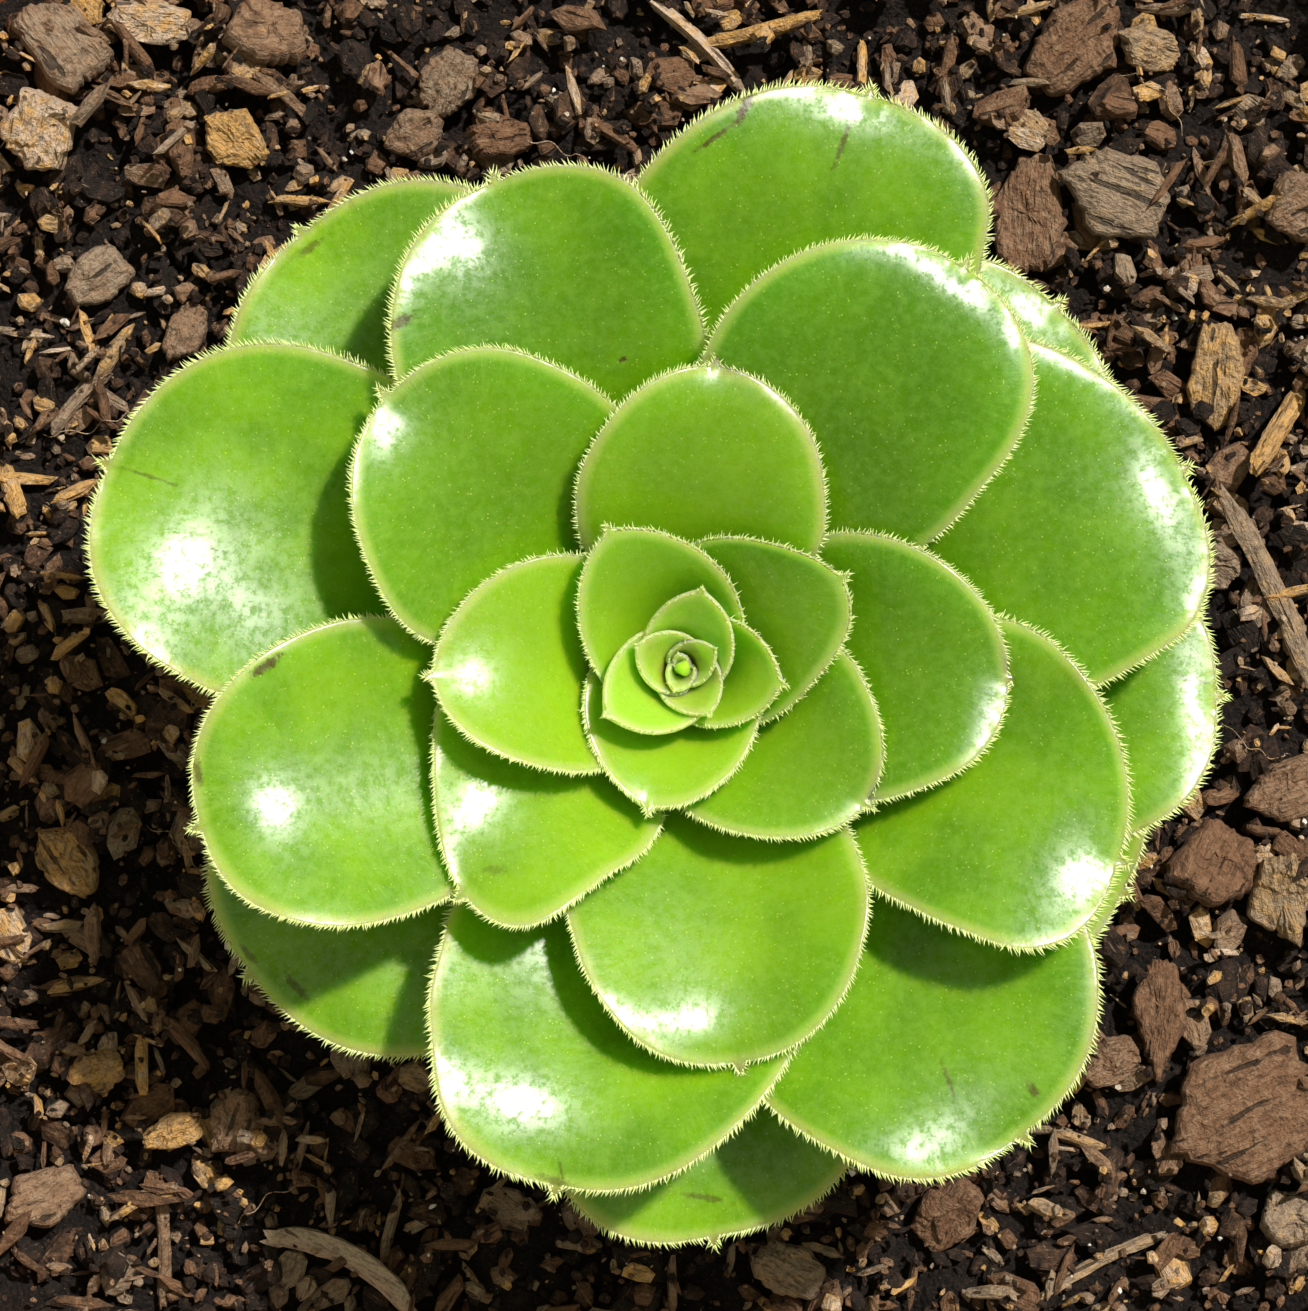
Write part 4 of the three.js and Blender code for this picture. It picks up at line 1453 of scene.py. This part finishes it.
# Sticks and slivers of wood, given alike, with how far their middle bows aside as a share of their length.
STICKS = [
    (67.5, 26.8, 14, 3.0, 2.0, 52, 0.84, 0.0),
    (66.0, 8.7, 26, 2.7, 2.0, -64, 0.66, 0.03),
    (2.0, 70.0, 15, 1.7, 1.5, -44, 1.0, 0.05),
    (9.2, 72.2, 14, 2.1, 1.6, 17, 0.86, -0.02),
    (20.5, 68.1, 7, 1.5, 1.1, 80, 0.9, 0.0),
    (-75.6, 20.0, 7.5, 2.5, 1.6, -60, 0.86, 0.0),
    (-38.5, -68.7, 20, 3.4, 2.4, -27, 1.1, 0.13),
    (48.0, -68.0, 17, 1.5, 1.3, 28, 0.7, 0.04),
    (-59.0, -66.0, 15, 1.8, 1.5, -84, 0.5, 0.02),
    (70.0, 42.0, 9, 1.4, 1.1, 30, 0.9, 0.0),
    (-68.0, 30.0, 10, 1.6, 1.3, 48, 0.6, 0.05),
    (-45.0, 64.5, 9, 1.5, 1.2, -40, 0.5, 0.03),
]


def plate_shape(random, size):
    """A flat piece of bark with an angular outline and flaking layers on top."""
    count = 52
    angle = np.linspace(0, 2 * math.pi, count, endpoint=False)
    sides = sorted_corners(random, random.integers(5, 8))
    turned_away = np.cos(angle[:, None] - sides[None])
    reach = np.where(turned_away > 0.1, random.uniform(0.78, 1, len(sides)) / np.maximum(turned_away, 0.1), 9)
    outline = 0.5 * np.minimum(reach.min(1), 1.2) * (1 + random.normal(0, 0.03, count))
    rings = [(0.12, 0.5), (0.26, 0.5), (0.4, 0.5), (0.53, 0.5), (0.66, 0.49), (0.78, 0.48), (0.88, 0.45)]
    rings += [(0.96, 0.36), (1.01, 0.18), (1.03, -0.05), (0.96, -0.32), (0.8, -0.5), (0.3, -0.5)]
    seed = int(random.integers(1000))
    rows = []
    for share, level in rings:
        x = outline * share * np.cos(angle)
        y = outline * share * np.sin(angle)
        layers = waves(x * size[0] + 50, y * size[1] + 50, 0.32 * size[1], seed)
        crumbly = waves(x * size[0] + 50, y * size[1] + 50, 0.9, seed + 1)
        on_top = 1.0 if level > 0.1 else 0.3
        z = level + on_top * (np.round(layers * 1.8) * 0.09 + crumbly * 0.03)
        rows.append(np.stack([x, y, z], -1))
    return closed_rows(rows, rows[0].mean(0), rows[-1].mean(0))


def stick_shape(random, bow):
    """A split stick with ragged ends, of unit length, width and thickness."""
    count, steps = 9, 16
    angle = sorted_corners(random, count)
    section = random.uniform(0.72, 1.05, count)
    rows = []
    for share in np.linspace(-0.5, 0.5, steps):
        narrow = lerp(0.55, 1, float(smooth(0.5 - abs(share), 0, 0.16)))
        ring = 0.5 * section * narrow * (1 + random.normal(0, 0.06, count))
        ragged = share * (1 + 0.14 * (abs(share) > 0.42) * random.uniform(-1, 0.3, count))
        drift = bow * (1 - 4 * share * share)
        rows.append(np.stack([ragged, ring * np.cos(angle), ring * np.sin(angle)], -1))
        rows[-1][:, 1] += drift
    return closed_rows(rows, rows[0].mean(0), rows[-1].mean(0))


ROOT_TONE = 0.96

# Root threads on the mix: both ends, how far the middle bows aside and the thickness.
THREADS = [
    ((-20.4, 59.6), (-10.6, 57.0), 0.9, 0.13),
    ((-72.5, 26.4), (-62.0, 29.0), -0.8, 0.13),
    ((-60.6, -18.0), (-54.6, -23.0), 1.2, 0.12),
    ((49.4, 67.0), (57.0, 60.4), 1.6, 0.14),
    ((-50.0, -63.0), (-41.0, -58.8), 1.4, 0.13),
    ((61.5, -6.0), (69.5, -10.0), -1.6, 0.12),
    ((-83.0, 52.0), (-74.0, 60.0), 2.0, 0.14),
    ((20.0, -86.0), (34.0, -80.0), 2.4, 0.14),
]


def thread_shape(start, end, bow, thick):
    """A thin root that arches from one end to the other over the pieces under it."""
    start, end = np.array(start), np.array(end)
    beside = np.array([start[1] - end[1], end[0] - start[0]]) / np.linalg.norm(end - start)
    count, steps = 5, 28
    share = np.linspace(0, 1, steps)
    flat = start + (end - start) * share[:, None] + beside * (bow * 4 * share * (1 - share))[:, None]
    flat = flat + beside * (0.35 * np.sin(share * 17 + start[0]))[:, None]
    under = np.array([pile.height[pile.index(x), pile.index(y)] for x, y in flat])
    lift = np.maximum(np.convolve(np.pad(under, 3, "edge"), np.ones(7) / 7, "valid"), under - 0.3) + 0.35
    middle = np.column_stack([flat, lift])
    ahead = np.gradient(middle, axis=0)
    ahead /= np.linalg.norm(ahead, axis=1)[:, None]
    across = np.cross(ahead, (0, 0, 1))
    across /= np.linalg.norm(across, axis=1)[:, None]
    above = np.cross(across, ahead)
    radius = (thick / 2 * np.minimum(1, 0.3 + 6 * np.minimum(share, 1 - share)))[:, None]
    turns = np.linspace(0, 2 * math.pi, count, endpoint=False)
    rings = [middle + radius * (across * math.cos(a) + above * math.sin(a)) for a in turns]
    points = np.stack(rings, 1).reshape(-1, 3)
    faces = tube_faces(steps, count)
    faces += [tuple(range(count)), tuple(reversed(range(len(points) - count, len(points))))]
    return points, facing_out(points, faces), {"tone": np.full(len(points), ROOT_TONE)}


def laid_singly(rows, make):
    """Parts of one piece, each shaped by itself and rested on the pile."""
    parts = []
    for x, y, length, width, thick, yaw, tone, *rest_of in rows:
        points, faces = make(length, width, thick, *rest_of)
        size = (length, width, thick)
        rest, turn = pile.lay(x, y, size, math.radians(yaw), chance.normal(0, 0.06, 2), 0.12, True)
        placed = points * size @ np.array(Euler(turn).to_matrix()).T + (x, y, rest)
        values = {
            "grain": points,
            "size": np.tile(size, (len(points), 1)),
            "tone": np.full(len(points), tone),
        }
        parts.append((placed, facing_out(placed, faces), values))
    return parts


under_rows = laid(3300, (2.0, 4.6), (0.45, 0.9), (0.4, 0.8), 14, (0.0, 0.75), 0.3, 3.0)
bark_rows = laid(1600, (3.6, 8.4), (0.35, 0.8), (0.24, 0.55), 14, (0.0, 1.0), 0.2, 2.1)
singles = np.random.default_rng(77)
plate_parts = laid_singly(PLATES, lambda length, width, thick: plate_shape(singles, (length, width, thick)))
stick_parts = laid_singly(
    STICKS, lambda length, width, thick, bow: stick_shape(singles, bow * length / width)
)
over_rows = laid(2700, (1.5, 4.0), (0.35, 0.9), (0.3, 0.8), 14, (0.0, 1.0), 0.35, 2.4)
sliver_rows = laid(1150, (3.0, 10.0), (0.12, 0.28), (0.4, 0.9), 14, (0.2, 1.0), 0.25)
crumb_rows = laid(9000, (0.6, 2.1), (0.45, 1.0), (0.5, 0.9), 10, (0.0, 0.95), 0.5, 2.4)
grit_rows = laid(260, (0.4, 1.4), (0.7, 1.0), (0.7, 1.0), 10, (0.0, 1.0), 0.5)

# Each kind of loose piece: its rows, shapes and finish, and how far its points are moved to roughen it.
for name, rows, family, finish, roughening in (
    ("bark_pieces", bark_rows, bark_family, bark_chip, 0.6),
    ("bark_nuggets_low", under_rows, nugget_family, bark_chip, 0.42),
    ("bark_nuggets_high", over_rows, nugget_family, bark_chip, 0.42),
    ("bark_slivers", sliver_rows, nugget_family, bark_chip, 0.3),
    ("mix_crumbs", crumb_rows, crumb_family, bark_chip, 0.25),
    ("grit_grains", grit_rows, crumb_family, grit, 0.1),
):
    scatter(name, rows, family, finish, roughening)
points, faces, values = gathered([thread_shape(*row) for row in THREADS])
values["grain"] = points
values["size"] = np.full((len(points), 3), 1.0)
belongs(piece_of("root_threads", points, faces, bark_chip, values), "potting_mix")
for name, parts in (("bark_plates", plate_parts), ("wood_sticks", stick_parts)):
    points, faces, values = gathered(parts)
    belongs(piece_of(name, points, faces, bark_chip, values, smooth=False), "potting_mix")

for family in (bark_family, nugget_family, crumb_family):
    for shape in list(family.objects):
        bpy.data.objects.remove(shape)
    bpy.data.collections.remove(family)

# ---- Pot ----


POT_SIDES = 224
POT_ROWS_APART = 4
POT_EDGE_RADIUS = 1.4
POT_UNEVENNESS = 0.0009  # as a share of the radius


def softened(corners, radius, steps=4):
    """A profile with each corner rounded off."""
    result = []
    count = len(corners)
    for i in range(count):
        here = np.array(corners[i], float)
        before = np.array(corners[i - 1], float) - here
        after = np.array(corners[(i + 1) % count], float) - here
        room = min(radius, 0.4 * np.linalg.norm(before), 0.4 * np.linalg.norm(after))
        start = here + before / np.linalg.norm(before) * room
        end = here + after / np.linalg.norm(after) * room
        for t in np.linspace(0, 1, steps):
            result.append(tuple((1 - t) ** 2 * start + 2 * t * (1 - t) * here + t**2 * end))
    return result


def pot_mesh():
    band_foot = POT_HEIGHT - BAND_HEIGHT
    corners = [
        (DRAIN_RADIUS, FOOT_RECESS),
        (BASE_RADIUS - FOOT_WIDTH, FOOT_RECESS),
        (BASE_RADIUS - FOOT_WIDTH + 1, 0),
        (BASE_RADIUS - 2, 0),
        (BASE_RADIUS, 2),
        (BODY_TOP_RADIUS, band_foot),
        (RIM_RADIUS - 2.5, band_foot),
        (RIM_RADIUS - 1.5, band_foot + 1.5),
        (RIM_RADIUS, POT_HEIGHT - 2),
        (RIM_RADIUS - 2, POT_HEIGHT),
        (RIM_RADIUS - RIM_THICKNESS + 2, POT_HEIGHT),
        (RIM_RADIUS - RIM_THICKNESS, POT_HEIGHT - 2),
        (BASE_RADIUS - WALL, FLOOR),
        (DRAIN_RADIUS, FLOOR),
    ]
    profile = softened(corners, POT_EDGE_RADIUS)
    profile.append(profile[0])
    filled = [profile[0]]
    for before, after in zip(profile, profile[1:]):
        gap = math.hypot(after[0] - before[0], after[1] - before[1])
        parts = max(1, int(gap / POT_ROWS_APART))
        for k in range(1, parts + 1):
            filled.append((lerp(before[0], after[0], k / parts), lerp(before[1], after[1], k / parts)))
    points, faces = turned(filled[:-1], POT_SIDES)
    last = len(points) - POT_SIDES
    for j in range(POT_SIDES):
        k = (j + 1) % POT_SIDES
        faces.append((last + j, last + k, k, j))
    angle = np.arctan2(points[:, 1], points[:, 0])
    uneven = 1 + POT_UNEVENNESS * waves(angle * 20 + 70, points[:, 2], 14, 21) - POT_UNEVENNESS
    points[:, 0] *= uneven
    points[:, 1] *= uneven
    return points, faces


points, faces = pot_mesh()
belongs(piece_of("pot_clay", points, facing_out(points, faces), terracotta), "clay", "pot")

# ---- Floor, light and camera ----

FLOOR_HALF = 6  # metres
floor = piece_of(
    "floor",
    np.array([(-1, -1, 0), (1, -1, 0), (1, 1, 0), (-1, 1, 0)]) * FLOOR_HALF / METRES,
    [(0, 1, 2, 3)],
    floor_finish,
)

SUN_AZIMUTH = 48
SUN_ELEVATION = 52
SUN_STRENGTH = 4.35
SUN_WIDTH = 2.6  # degrees across, for soft shadow edges
SUN_COLOUR = (1.0, 0.975, 0.93)
SKY_COLOUR = (1.0, 0.98, 0.74, 1.0)
SKY_STRENGTH = 0.31
CAMERA_PLACE = (-3.05, 1.32, 563)
CAMERA_LENS = 109.57
CAMERA_SENSOR = 36

sun_data = bpy.data.lights.new("key_light", "SUN")
sun_data.energy = SUN_STRENGTH
sun_data.angle = math.radians(SUN_WIDTH)
sun_data.color = SUN_COLOUR
sun = bpy.data.objects.new("key_light", sun_data)
sun.rotation_euler = (0, math.radians(90 - SUN_ELEVATION), math.radians(SUN_AZIMUTH))
bpy.context.scene.collection.objects.link(sun)

world = bpy.data.worlds.new("soft_surroundings")
world.use_nodes = True
sky = world.node_tree.nodes["Background"]
sky.inputs["Color"].default_value = SKY_COLOUR
sky.inputs["Strength"].default_value = SKY_STRENGTH
bpy.context.scene.world = world
bpy.context.scene.view_settings.view_transform = "Standard"

camera_data = bpy.data.cameras.new("camera")
camera_data.lens = CAMERA_LENS
camera_data.sensor_width = CAMERA_SENSOR
camera = bpy.data.objects.new("camera", camera_data)
camera.location = [part * METRES for part in CAMERA_PLACE]
bpy.context.scene.collection.objects.link(camera)
bpy.context.scene.camera = camera
